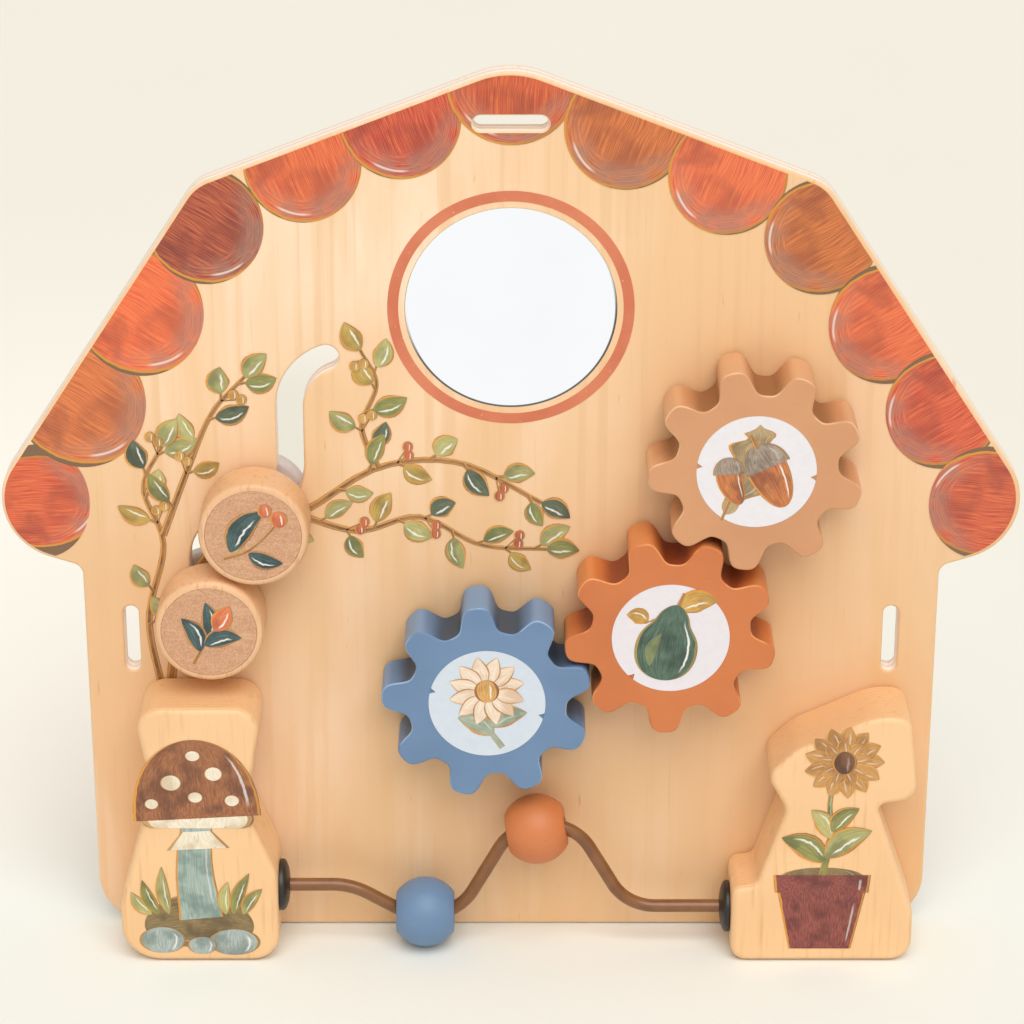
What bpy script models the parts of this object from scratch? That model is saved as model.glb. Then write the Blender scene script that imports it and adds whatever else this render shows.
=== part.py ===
"""Wooden activity board: a barn-shaped plywood panel that stands on two thick foot blocks.

The panel carries a round mirror, a train of three toothed wheels, two discs that run in a curved slot,
and a bent wire with two beads between the foot blocks. Sizes are in metres, +Z is up, and the board's
front faces -Y. The origin is the middle of the panel's bottom edge, at half the panel's thickness.
"""

import math

import bmesh
import bpy
from mathutils import Vector

# Gaps
SEAT_GAP = 0.0003              # between two pieces that rest on each other
RUNNING_GAP = 0.0003           # between a turning piece and what it turns on
HEAD_SIDE_ROOM = 0.0009        # round a screw's head inside its bore

# Fineness of round shapes
ARC_STEP = math.radians(12)    # longest step along a rounded corner
WHEEL_SIDES = 32               # faces round a large turned piece
PIN_SIDES = 14                 # faces round a small turned piece
RIM_STEPS = 2                  # facets across a rounded rim
RIM_ANGLE = math.radians(65)   # edges sharper than this get their rounding
SMOOTH_ANGLE = math.radians(40)            # faces that meet flatter than this are shaded as one
SAME_POINT = 0.0003            # points of a route closer than this are one point
MERGE_DISTANCE = 0.000001

# Panel, measured at its corners before they are rounded
PANEL_THICKNESS = 0.010
PANEL_EDGE_ROUNDING = 0.0012
WALL_HALF_WIDTH = 0.1695
WALL_HEIGHT = 0.1624
FOOT_CORNER_RADIUS = 0.022
WALL_CORNER_RADIUS = 0.005
EAVE_OVERHANG = 0.0447
EAVE_TIP_RISE = 0.0143
EAVE_RADIUS = 0.0259
KNEE_HALF_WIDTH = 0.1199
KNEE_HEIGHT = 0.3208
KNEE_RADIUS = 0.018
RIDGE_HEIGHT = 0.3676
RIDGE_RADIUS = 0.034

# Strap slots
STRAP_SLOT_LENGTH = 0.0285
STRAP_SLOT_WIDTH = 0.006
SIDE_SLOT_INSET = 0.0183       # wall to the slot's centre line
SIDE_SLOT_HEIGHT = 0.1308
TOP_SLOT_DROP = 0.0227         # ridge corner to the slot's centre line

# Mirror
MIRROR_DROP = 0.0965           # ridge corner to the mirror's centre
MIRROR_RADIUS = 0.0407
MIRROR_THICKNESS = 0.002
MIRROR_INSET = 0.0002          # how far the mirror lies behind the panel's face
MIRROR_PAD_RADIUS = 0.037
MIRROR_PAD_THICKNESS = 0.0008

# Toothed wheels
TEETH = 9
GEAR_TIP_RADIUS = 0.0418
GEAR_ROOT_RADIUS = 0.0315
GEAR_TIP_CLEARANCE = 0.0042    # tip of one wheel to the valley floor of the next
GEAR_THICKNESS = 0.022
GEAR_EDGE_ROUNDING = 0.0012
TOOTH_SQUARENESS = 1.8
POINTS_PER_TOOTH = 16
UPPER_GEAR_X = 0.0942
UPPER_GEAR_HEIGHT = 0.2133
UPPER_GEAR_TURN = math.radians(144.3)      # direction of one tooth, from +X towards +Z
MESH_DIRECTIONS = (math.radians(245.9), math.radians(201.7))

# Running gear of each toothed wheel
BUSH_RADIUS = 0.005
AXLE_SCREW_RADIUS = 0.002
AXLE_HEAD_RADIUS = 0.008
AXLE_HEAD_THICKNESS = 0.003
AXLE_HEAD_ROOM = 0.0028        # free depth in front of the screw's head
SPACER_RADIUS = 0.011
SPACER_THICKNESS = 0.0014
GEAR_DISC_RADIUS = 0.0231
GEAR_DISC_THICKNESS = 0.0016
NUT_FLANGE_RADIUS = 0.008
NUT_FLANGE_THICKNESS = 0.0015
NUT_BARREL_RADIUS = 0.0036
NUT_BARREL_LENGTH = 0.008
NUT_SCREW_REACH = 0.006        # how far the screw goes into the nut's barrel

# Curved slot, as the corners of its centre line with the radius at each
TRACK_WIDTH = 0.0104
TRACK_TOP_END = (-0.0715, 0.2507)
TRACK_HOOK = (-0.0860, 0.2454, 0.022)
TRACK_SHOULDER = (-0.0860, 0.1902, 0.024)
TRACK_ELBOW = (-0.1215, 0.1773, 0.018)
TRACK_SHIN = (-0.1215, 0.1541, 0.070)
TRACK_LOW_END = (-0.1184, 0.1440)
TRACK_END_ROOM = 0.0005        # slot left free past the lower slider at rest

# Sliders
SLIDER_RADIUS = 0.0215
SLIDER_THICKNESS = 0.020
SLIDER_EDGE_ROUNDING = 0.0022
SLIDER_FRONT_GAP = 0.0015      # panel's front face to the disc
SLIDER_STEM_PLAY = 0.0006      # stem to each wall of the slot
SLIDER_STEM_REACH = 0.012      # how deep the stem goes into the front disc
SLIDER_SCREW_RADIUS = 0.0018
SLIDER_HEAD_RADIUS = 0.0072
SLIDER_HEAD_THICKNESS = 0.0025
SLIDER_FACE_RADIUS = 0.0188
SLIDER_FACE_THICKNESS = 0.0015
SLIDER_BACK_RADIUS = 0.020
SLIDER_BACK_THICKNESS = 0.008
SLIDER_BACK_GAP = 0.0008
SLIDER_SCREW_REACH = 0.005     # how far the screw goes into the rear disc
UPPER_SLIDER_TURN = math.radians(-65)      # place on the shoulder's arc, from +X towards +Z

# Foot blocks, each outline as (across, up, corner radius) from the block's own centre line
BLOCK_DEPTH = 0.030
BLOCK_EDGE_ROUNDING = 0.0025
BLOCK_INSET = 0.0435           # wall to the block's centre line
LEFT_BLOCK_OUTLINE = (
    (-0.0320, 0.0000, 0.0160), (0.0320, 0.0000, 0.0110), (0.0320, 0.0400, 0.0220),
    (0.0205, 0.0680, 0.0140), (0.0282, 0.1143, 0.0100), (-0.0235, 0.1143, 0.0100),
    (-0.0168, 0.0780, 0.0240), (-0.0315, 0.0260, 0.0200))
RIGHT_BLOCK_OUTLINE = (
    (-0.0370, 0.0000, 0.0065), (0.0363, 0.0000, 0.0090), (0.0363, 0.0220, 0.0160),
    (0.0195, 0.0713, 0.0035), (0.0358, 0.0740, 0.0070), (0.0318, 0.1098, 0.0060),
    (0.0190, 0.1113, 0.0250), (-0.0135, 0.0960, 0.0220), (-0.0245, 0.0845, 0.0070),
    (-0.0162, 0.0690, 0.0080), (-0.0274, 0.0350, 0.0040), (-0.0370, 0.0335, 0.0040))

# Screws that hold the blocks from behind the panel
BLOCK_SCREW_PLACES = ((0.000, 0.020), (0.005, 0.092))      # across and up, from the block's centre line
BLOCK_SCREW_RADIUS = 0.0019
BLOCK_SCREW_HEAD_RADIUS = 0.0040
BLOCK_SCREW_HEAD_DEPTH = 0.0022
BLOCK_SCREW_REACH = 0.018      # how far the screw goes into the block
BLOCK_SCREW_SINK = 0.0002      # head below the panel's back face

# Bead wire, as the corners of its centre line with the radius at each
WIRE_RADIUS = 0.00265
WIRE_SIDES = 10
WIRE_ARC_STEP = math.radians(12)
WIRE_LEFT_HEIGHT = 0.0272
WIRE_RIGHT_HEIGHT = 0.0172
WIRE_LEFT_BEND = (-0.0649, 0.028)
WIRE_VALLEY = (-0.0266, 0.0042, 0.022)
WIRE_CREST = (0.0133, 0.0773, 0.021)
WIRE_RIGHT_BEND = (0.0472, 0.020)
WIRE_SOCKET_DEPTH = 0.012

# Beads and the collars round the wire's ends
BEAD_RADIUS = 0.0142
BEAD_LENGTH = 0.0235
BEAD_BORE_RADIUS = 0.0055
BEAD_RINGS = 7
BLUE_BEAD_TURN = math.radians(270)         # place on the valley's arc, from +X towards +Z
ORANGE_BEAD_TURN = math.radians(100)       # place on the crest's arc
COLLAR_RADIUS = 0.0105
COLLAR_HEIGHT = 0.0040
COLLAR_RIM = 0.0012
COLLAR_RINGS = 3

# Places that follow from the sizes above
PANEL_FRONT = -PANEL_THICKNESS / 2
PANEL_BACK = PANEL_THICKNESS / 2
MIRROR_HEIGHT = RIDGE_HEIGHT - MIRROR_DROP
LEFT_BLOCK_X = -(WALL_HALF_WIDTH - BLOCK_INSET)
RIGHT_BLOCK_X = WALL_HALF_WIDTH - BLOCK_INSET
BLOCK_BACK = PANEL_FRONT - SEAT_GAP
BLOCK_FRONT = BLOCK_BACK - BLOCK_DEPTH
WIRE_Y = (BLOCK_BACK + BLOCK_FRONT) / 2
GEAR_BACK = PANEL_FRONT - SPACER_THICKNESS - 2 * SEAT_GAP
GEAR_FRONT = GEAR_BACK - GEAR_THICKNESS
GEAR_DISTANCE = GEAR_TIP_RADIUS + GEAR_ROOT_RADIUS + GEAR_TIP_CLEARANCE
SLIDER_BACK = PANEL_FRONT - SLIDER_FRONT_GAP
SLIDER_FRONT = SLIDER_BACK - SLIDER_THICKNESS


def direction(turn):
    """Unit vector in the board's plane, turned from +X towards +Z."""
    return Vector((math.cos(turn), math.sin(turn)))


def corner_arc(before, corner, after, radius):
    """Centre, first point, last point and turn of the arc that rounds a corner of a route."""
    corner = Vector(corner)
    arriving = (corner - Vector(before)).normalized()
    leaving = (Vector(after) - corner).normalized()
    turn = math.atan2(arriving.x * leaving.y - arriving.y * leaving.x, arriving.dot(leaving))
    tangent = radius * math.tan(abs(turn) / 2)
    first = corner - arriving * tangent
    last = corner + leaving * tangent
    side = math.copysign(1, turn)
    centre = first + Vector((-arriving.y, arriving.x)) * radius * side
    return centre, first, last, turn


def arc_points(centre, first, turn, step):
    """Points along an arc, both ends included, no further apart than one step."""
    count = max(1, math.ceil(abs(turn) / step))
    spoke = first - centre
    points = []
    for index in range(count + 1):
        angle = turn * index / count
        cosine, sine = math.cos(angle), math.sin(angle)
        turned = Vector((spoke.x * cosine - spoke.y * sine, spoke.x * sine + spoke.y * cosine))
        points.append(centre + turned)
    return points


def rounded_outline(corners):
    """Closed outline through corners given as (across, up, radius)."""
    points = []
    for index, (across, up, radius) in enumerate(corners):
        before = corners[index - 1][:2]
        after = corners[(index + 1) % len(corners)][:2]
        centre, first, last, turn = corner_arc(before, (across, up), after, radius)
        points += arc_points(centre, first, turn, ARC_STEP)
    return points


def rounded_route(first_end, corners, last_end, step):
    """Open route from one end to the other, through corners given as (across, up, radius)."""
    stops = [first_end] + [corner[:2] for corner in corners] + [last_end]
    points = [Vector(first_end)]
    for index, corner in enumerate(corners):
        before, here, after = stops[index:index + 3]
        centre, first, last, turn = corner_arc(before, here, after, corner[2])
        arc = arc_points(centre, first, turn, step)
        if (arc[0] - points[-1]).length < SAME_POINT:
            arc = arc[1:]
        points += arc
    if (points[-1] - Vector(last_end)).length > SAME_POINT:
        points.append(Vector(last_end))
    return points


def slot_outline(route, half_width):
    """Outline of a round-ended slot that follows a route."""
    left, right = [], []
    for index, point in enumerate(route):
        heading = route[min(index + 1, len(route) - 1)] - route[max(index - 1, 0)]
        side = Vector((-heading.y, heading.x)).normalized() * half_width
        left.append(point + side)
        right.append(point - side)
    far_cap = arc_points(route[-1], left[-1], -math.pi, ARC_STEP)[1:-1]
    near_cap = arc_points(route[0], right[0], -math.pi, ARC_STEP)[1:-1]
    return left + far_cap + right[::-1] + near_cap


def gear_outline(turn):
    """Outline of a toothed wheel whose teeth are flattened waves."""
    middle = (GEAR_TIP_RADIUS + GEAR_ROOT_RADIUS) / 2
    half_height = (GEAR_TIP_RADIUS - GEAR_ROOT_RADIUS) / 2
    points = []
    for index in range(TEETH * POINTS_PER_TOOTH):
        wave = math.cos(2 * math.pi * index / POINTS_PER_TOOTH)
        height = math.tanh(TOOTH_SQUARENESS * wave) / math.tanh(TOOTH_SQUARENESS)
        angle = turn + 2 * math.pi * index / (TEETH * POINTS_PER_TOOTH)
        points.append(direction(angle) * (middle + half_height * height))
    return points


def finish(name, colour, roughness, metallic=0.0):
    """Material with one plain finish; the colour is an sRGB hex value."""
    material = bpy.data.materials.new(name)
    material.use_nodes = True
    channels = []
    for shift in (16, 8, 0):
        value = (colour >> shift & 255) / 255
        channels.append(value / 12.92 if value <= 0.04045 else ((value + 0.055) / 1.055) ** 2.4)
    shader = material.node_tree.nodes["Principled BSDF"]
    shader.inputs["Base Color"].default_value = (*channels, 1.0)
    shader.inputs["Roughness"].default_value = roughness
    shader.inputs["Metallic"].default_value = metallic
    return material


def place_object(name, mesh, material, place=(0, 0, 0), parent=None):
    """Object for a finished mesh, at a place in the board's frame."""
    piece = bpy.data.objects.new(name, mesh)
    bpy.context.collection.objects.link(piece)
    if material:
        mesh.materials.append(material)
    piece.parent = parent
    piece.location = Vector(place) - (parent.location if parent else Vector())
    return piece


def joint_axis(name, across, up, parent=None):
    """Empty on a joint's axis, which runs front to back through it."""
    axis = bpy.data.objects.new(name, None)
    bpy.context.collection.objects.link(axis)
    axis.location = (across, 0, up)
    if parent:
        axis.parent = parent
        axis.location -= parent.location
    bpy.context.view_layer.update()
    return axis


def plate_mesh(name, outline, front, back):
    """Outline in the board's plane, given a thickness from front to back."""
    shape = bmesh.new()
    corners = [shape.verts.new((point.x, back, point.y)) for point in outline]
    face = shape.faces.new(corners)
    extruded = bmesh.ops.extrude_face_region(shape, geom=[face])
    moved = [item for item in extruded["geom"] if isinstance(item, bmesh.types.BMVert)]
    bmesh.ops.translate(shape, verts=moved, vec=(0, front - back, 0))
    bmesh.ops.recalc_face_normals(shape, faces=shape.faces)
    return mesh_from(shape, name)


def turned_mesh(name, profile, sides, closed=False):
    """Profile of (radius, depth along Y) turned about the Y axis."""
    shape = bmesh.new()
    points = [shape.verts.new((radius, depth, 0)) for radius, depth in profile]
    pairs = list(zip(points, points[1:]))
    if closed:
        pairs.append((points[-1], points[0]))
    edges = [shape.edges.new(pair) for pair in pairs]
    bmesh.ops.spin(shape, geom=points + edges, cent=(0, 0, 0), axis=(0, 1, 0), angle=2 * math.pi,
                   steps=sides, use_merge=True)
    bmesh.ops.remove_doubles(shape, verts=shape.verts, dist=MERGE_DISTANCE)
    bmesh.ops.recalc_face_normals(shape, faces=shape.faces)
    return mesh_from(shape, name)


def turn_from_depth(heading):
    """Turn that points a piece made along Y in another direction."""
    return Vector((0, 1, 0)).rotation_difference(Vector(heading)).to_euler()


def mesh_from(shape, name):
    """Mesh with its round faces shaded smooth."""
    mesh = bpy.data.meshes.new(name)
    shape.to_mesh(mesh)
    shape.free()
    mesh.shade_smooth()
    mesh.set_sharp_from_angle(angle=SMOOTH_ANGLE)
    return mesh


def round_edges(piece, width, segments=2):
    """Bevel on the rim edges of a plate."""
    bevel = piece.modifiers.new("edge_rounding", "BEVEL")
    bevel.width = width
    bevel.segments = segments
    bevel.limit_method = "ANGLE"
    bevel.angle_limit = RIM_ANGLE


def cut(piece, cutter):
    """Take a cutter's shape out of a piece."""
    cutter.hide_render = True
    cutter.display_type = "WIRE"
    boolean = piece.modifiers.new("cut_" + cutter.name, "BOOLEAN")
    boolean.operation = "DIFFERENCE"
    boolean.solver = "EXACT"
    boolean.object = cutter


def turned_cutter(name, profile, place, sides=PIN_SIDES):
    """Cutter turned about a front-to-back axis."""
    return place_object(name, turned_mesh(name, profile, sides), None, place)


def stepped_profile(steps):
    """Solid profile from (radius, start, end) steps along the axis, in order."""
    profile = [(0, steps[0][1])]
    for radius, start, end in steps:
        profile += [(radius, start), (radius, end)]
    profile.append((0, steps[-1][2]))
    return profile


def ring_profile(inner, outer, start, end):
    """Closed profile of a plain ring."""
    return [(inner, start), (outer, start), (outer, end), (inner, end)]


def panel_outline():
    """Barn outline: foot corner, wall, eave, knee and ridge, on both sides."""
    right = [
        (WALL_HALF_WIDTH, 0, FOOT_CORNER_RADIUS),
        (WALL_HALF_WIDTH, WALL_HEIGHT, WALL_CORNER_RADIUS),
        (WALL_HALF_WIDTH + EAVE_OVERHANG, WALL_HEIGHT + EAVE_TIP_RISE, EAVE_RADIUS),
        (KNEE_HALF_WIDTH, KNEE_HEIGHT, KNEE_RADIUS)]
    ridge = [(0, RIDGE_HEIGHT, RIDGE_RADIUS)]
    left = [(-across, up, radius) for across, up, radius in reversed(right)]
    return rounded_outline(right + ridge + left)


def track_route():
    """Centre line of the curved slot, from its top end to just past the lower slider."""
    corners = (TRACK_HOOK, TRACK_SHOULDER, TRACK_ELBOW, TRACK_SHIN)
    route = rounded_route(TRACK_TOP_END, corners, TRACK_LOW_END, ARC_STEP)
    heading = (route[-1] - route[-2]).normalized()
    return route + [route[-1] + heading * TRACK_END_ROOM]


def make_panel(wood, gear_places):
    """Plywood panel with its slots, mirror recess and screw holes."""
    through_front = PANEL_FRONT - PANEL_THICKNESS
    through_back = PANEL_BACK + PANEL_THICKNESS
    mesh = plate_mesh("back_panel", panel_outline(), PANEL_FRONT, PANEL_BACK)
    panel = place_object("back_panel", mesh, wood)
    round_edges(panel, PANEL_EDGE_ROUNDING, 1)

    slots = {"track_cutter": (track_route(), TRACK_WIDTH / 2)}
    half_run = (STRAP_SLOT_LENGTH - STRAP_SLOT_WIDTH) / 2
    for side, name in ((-1, "left_strap_cutter"), (1, "right_strap_cutter")):
        across = side * (WALL_HALF_WIDTH - SIDE_SLOT_INSET)
        low_end = Vector((across, SIDE_SLOT_HEIGHT - half_run))
        high_end = Vector((across, SIDE_SLOT_HEIGHT + half_run))
        slots[name] = ([low_end, high_end], STRAP_SLOT_WIDTH / 2)
    top = RIDGE_HEIGHT - TOP_SLOT_DROP
    top_ends = [Vector((-half_run, top)), Vector((half_run, top))]
    slots["top_strap_cutter"] = (top_ends, STRAP_SLOT_WIDTH / 2)
    for name, (route, half_width) in slots.items():
        slot_mesh = plate_mesh(name, slot_outline(route, half_width), through_front, through_back)
        cut(panel, place_object(name, slot_mesh, None))

    recess_floor = PANEL_FRONT + MIRROR_INSET + MIRROR_THICKNESS + MIRROR_PAD_THICKNESS + 2 * SEAT_GAP
    recess = stepped_profile([(MIRROR_RADIUS + SEAT_GAP, through_front, recess_floor)])
    cut(panel, turned_cutter("mirror_cutter", recess, (0, 0, MIRROR_HEIGHT), WHEEL_SIDES))

    barrel = stepped_profile([(NUT_BARREL_RADIUS + SEAT_GAP, through_front, through_back)])
    for index, (across, up) in enumerate(gear_places):
        cut(panel, turned_cutter("axle_cutter_%d" % index, barrel, (across, 0, up)))
    return panel


def make_mirror(glass, foam):
    """Mirror and the adhesive pad behind it."""
    back = PANEL_FRONT + MIRROR_INSET + MIRROR_THICKNESS
    mirror = stepped_profile([(MIRROR_RADIUS, back - MIRROR_THICKNESS, back)])
    place_object("mirror", turned_mesh("mirror", mirror, WHEEL_SIDES), glass, (0, 0, MIRROR_HEIGHT))
    pad = stepped_profile([(MIRROR_PAD_RADIUS, back + SEAT_GAP, back + SEAT_GAP + MIRROR_PAD_THICKNESS)])
    place_object("mirror_pad", turned_mesh("mirror_pad", pad, WHEEL_SIDES), foam, (0, 0, MIRROR_HEIGHT))


def gear_layout():
    """Place and turn of each toothed wheel: every tooth faces the next wheel's valley."""
    places = [Vector((UPPER_GEAR_X, UPPER_GEAR_HEIGHT))]
    turns = [UPPER_GEAR_TURN]
    for mesh_direction in MESH_DIRECTIONS:
        places.append(places[-1] + direction(mesh_direction) * GEAR_DISTANCE)
        half_pitch = math.pi / TEETH
        turns.append(2 * mesh_direction + math.pi + half_pitch - turns[-1])
    return list(zip(("upper", "middle", "lower"), places, turns))


def make_gear(name, place, turn, paint, metal, picture, beech):
    """Toothed wheel with its bush, screw, spacer, nut and picture disc."""
    across, up = place
    centre = (across, 0, up)
    axis = joint_axis(name + "_gear_axis", across, up)
    disc_seat = GEAR_FRONT + GEAR_DISC_THICKNESS + SEAT_GAP
    head_floor = disc_seat + AXLE_HEAD_ROOM + AXLE_HEAD_THICKNESS
    bush_front = head_floor - SEAT_GAP
    head_back = bush_front - SEAT_GAP

    mesh = plate_mesh(name + "_gear", gear_outline(turn), GEAR_FRONT, GEAR_BACK)
    gear = place_object(name + "_gear", mesh, paint, centre, axis)
    round_edges(gear, GEAR_EDGE_ROUNDING, 1)
    bore = stepped_profile([
        (GEAR_DISC_RADIUS + SEAT_GAP, GEAR_FRONT - GEAR_THICKNESS, disc_seat),
        (AXLE_HEAD_RADIUS + HEAD_SIDE_ROOM, disc_seat, head_floor),
        (BUSH_RADIUS + RUNNING_GAP, head_floor, GEAR_BACK + GEAR_THICKNESS)])
    cut(gear, turned_cutter(name + "_gear_bore", bore, centre, WHEEL_SIDES))

    disc = stepped_profile([(GEAR_DISC_RADIUS, GEAR_FRONT, GEAR_FRONT + GEAR_DISC_THICKNESS)])
    disc_mesh = turned_mesh(name + "_gear_disc", disc, WHEEL_SIDES)
    place_object(name + "_gear_disc", disc_mesh, picture, centre, axis)

    seat = PANEL_FRONT - SEAT_GAP
    bush = ring_profile(AXLE_SCREW_RADIUS + SEAT_GAP, BUSH_RADIUS, bush_front, seat)
    bush_mesh = turned_mesh(name + "_gear_bush", bush, PIN_SIDES, True)
    place_object(name + "_gear_bush", bush_mesh, metal, centre)
    spacer = ring_profile(BUSH_RADIUS + RUNNING_GAP, SPACER_RADIUS, seat - SPACER_THICKNESS, seat)
    spacer_mesh = turned_mesh(name + "_gear_spacer", spacer, PIN_SIDES, True)
    place_object(name + "_gear_spacer", spacer_mesh, beech, centre)

    barrel_front = PANEL_BACK + SEAT_GAP - NUT_BARREL_LENGTH
    screw = stepped_profile([
        (AXLE_HEAD_RADIUS, head_back - AXLE_HEAD_THICKNESS, head_back),
        (AXLE_SCREW_RADIUS, head_back, barrel_front + NUT_SCREW_REACH)])
    screw_mesh = turned_mesh(name + "_gear_screw", screw, PIN_SIDES)
    place_object(name + "_gear_screw", screw_mesh, metal, centre)
    flange_front = PANEL_BACK + SEAT_GAP
    hole_radius = AXLE_SCREW_RADIUS + SEAT_GAP
    hole_floor = barrel_front + NUT_SCREW_REACH + SEAT_GAP
    nut = [
        (0, hole_floor), (hole_radius, hole_floor), (hole_radius, barrel_front),
        (NUT_BARREL_RADIUS, barrel_front), (NUT_BARREL_RADIUS, flange_front),
        (NUT_FLANGE_RADIUS, flange_front), (NUT_FLANGE_RADIUS, flange_front + NUT_FLANGE_THICKNESS),
        (0, flange_front + NUT_FLANGE_THICKNESS)]
    nut_mesh = turned_mesh(name + "_gear_nut", nut, PIN_SIDES)
    place_object(name + "_gear_nut", nut_mesh, metal, centre)


def rounded_disc_profile(radius, rounding, front, back):
    """Solid disc whose rims are quarter-round."""
    inner = radius - rounding
    rim = []
    for index in range(RIM_STEPS + 1):
        angle = math.pi / 2 * index / RIM_STEPS
        rim.append((rounding * math.sin(angle), rounding * math.cos(angle)))
    profile = [(0, front)]
    for out, along in rim:
        profile.append((inner + out, front + rounding - along))
    for out, along in reversed(rim):
        profile.append((inner + out, back - rounding + along))
    profile.append((0, back))
    return profile


def slider_places():
    """Arc centres on the track and the place of each slider at rest."""
    hook, shoulder, elbow, shin = [
        corner[:2] for corner in (TRACK_HOOK, TRACK_SHOULDER, TRACK_ELBOW, TRACK_SHIN)]
    shoulder_centre = corner_arc(hook, shoulder, elbow, TRACK_SHOULDER[2])[0]
    shin_centre = corner_arc(elbow, shin, TRACK_LOW_END, TRACK_SHIN[2])[0]
    upper_place = shoulder_centre + direction(UPPER_SLIDER_TURN) * TRACK_SHOULDER[2]
    return [("upper", shoulder_centre, upper_place), ("lower", shin_centre, Vector(TRACK_LOW_END))]


def make_slider(name, centre, place, beech, picture, metal):
    """Front disc that spins on a stem, which runs in the slot and carries a rear disc."""
    across, up = place
    travel = joint_axis(name + "_slider_travel", centre.x, centre.y)
    stem_radius = TRACK_WIDTH / 2 - SLIDER_STEM_PLAY
    stem_front = SLIDER_BACK - SLIDER_STEM_REACH
    head_floor = stem_front + SEAT_GAP
    face_seat = SLIDER_FRONT + SLIDER_FACE_THICKNESS + SEAT_GAP
    rear_front = PANEL_BACK + SLIDER_BACK_GAP
    rear_back = rear_front + SLIDER_BACK_THICKNESS

    disc_profile = rounded_disc_profile(SLIDER_RADIUS, SLIDER_EDGE_ROUNDING, SLIDER_FRONT, SLIDER_BACK)
    spin = joint_axis(name + "_slider_spin", across, up, travel)
    disc_mesh = turned_mesh(name + "_slider_disc", disc_profile, WHEEL_SIDES)
    disc = place_object(name + "_slider_disc", disc_mesh, beech)
    disc.parent = spin
    bore = stepped_profile([
        (SLIDER_FACE_RADIUS + SEAT_GAP, SLIDER_FRONT - SLIDER_THICKNESS, face_seat),
        (SLIDER_HEAD_RADIUS + HEAD_SIDE_ROOM, face_seat, head_floor),
        (stem_radius + RUNNING_GAP, head_floor, SLIDER_BACK + SLIDER_THICKNESS)])
    cut(disc, turned_cutter(name + "_slider_bore", bore, (across, 0, up), WHEEL_SIDES))
    face_back = SLIDER_FRONT + SLIDER_FACE_THICKNESS
    face_profile = stepped_profile([(SLIDER_FACE_RADIUS, SLIDER_FRONT, face_back)])
    face_mesh = turned_mesh(name + "_slider_face", face_profile, WHEEL_SIDES)
    face = place_object(name + "_slider_face", face_mesh, picture)
    face.parent = spin

    hole_radius = SLIDER_SCREW_RADIUS + SEAT_GAP
    stem_profile = ring_profile(hole_radius, stem_radius, stem_front, rear_front - SEAT_GAP)
    stem_mesh = turned_mesh(name + "_slider_stem", stem_profile, PIN_SIDES, True)
    stem = place_object(name + "_slider_stem", stem_mesh, beech)
    screw_end = rear_front + SLIDER_SCREW_REACH
    head_back = stem_front - SEAT_GAP
    screw_profile = stepped_profile([
        (SLIDER_HEAD_RADIUS, head_back - SLIDER_HEAD_THICKNESS, head_back),
        (SLIDER_SCREW_RADIUS, head_back, screw_end)])
    screw_mesh = turned_mesh(name + "_slider_screw", screw_profile, PIN_SIDES)
    screw = place_object(name + "_slider_screw", screw_mesh, metal)
    rear_profile = rounded_disc_profile(SLIDER_BACK_RADIUS, SLIDER_EDGE_ROUNDING, rear_front, rear_back)
    rear_mesh = turned_mesh(name + "_slider_back", rear_profile, WHEEL_SIDES)
    rear = place_object(name + "_slider_back", rear_mesh, beech)
    screw_hole = stepped_profile([(hole_radius, PANEL_FRONT, screw_end + SEAT_GAP)])
    cut(rear, turned_cutter(name + "_slider_screw_hole", screw_hole, (across, 0, up)))
    for piece in (stem, screw, rear):
        piece.parent = travel
        piece.location = (across - centre.x, 0, up - centre.y)


def wire_corners():
    """Corners of the bead wire between the two blocks."""
    return (
        (WIRE_LEFT_BEND[0], WIRE_LEFT_HEIGHT, WIRE_LEFT_BEND[1]), WIRE_VALLEY, WIRE_CREST,
        (WIRE_RIGHT_BEND[0], WIRE_RIGHT_HEIGHT, WIRE_RIGHT_BEND[1]))


def block_side(outline, centre_x, side, height):
    """Inner side of a block, at the height where the wire goes in."""
    points = rounded_outline(outline)
    crossings = []
    for first, last in zip(points, points[1:] + points[:1]):
        if (first.y - height) * (last.y - height) <= 0 and abs(first.y - last.y) > 0:
            share = (height - first.y) / (last.y - first.y)
            crossings.append(centre_x + first.x + share * (last.x - first.x))
    return max(crossings) if side > 0 else min(crossings)


def wire_ends():
    """Where the wire meets each block's inner side."""
    left = block_side(LEFT_BLOCK_OUTLINE, LEFT_BLOCK_X, 1, WIRE_LEFT_HEIGHT)
    right = block_side(RIGHT_BLOCK_OUTLINE, RIGHT_BLOCK_X, -1, WIRE_RIGHT_HEIGHT)
    return left, right


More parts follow.
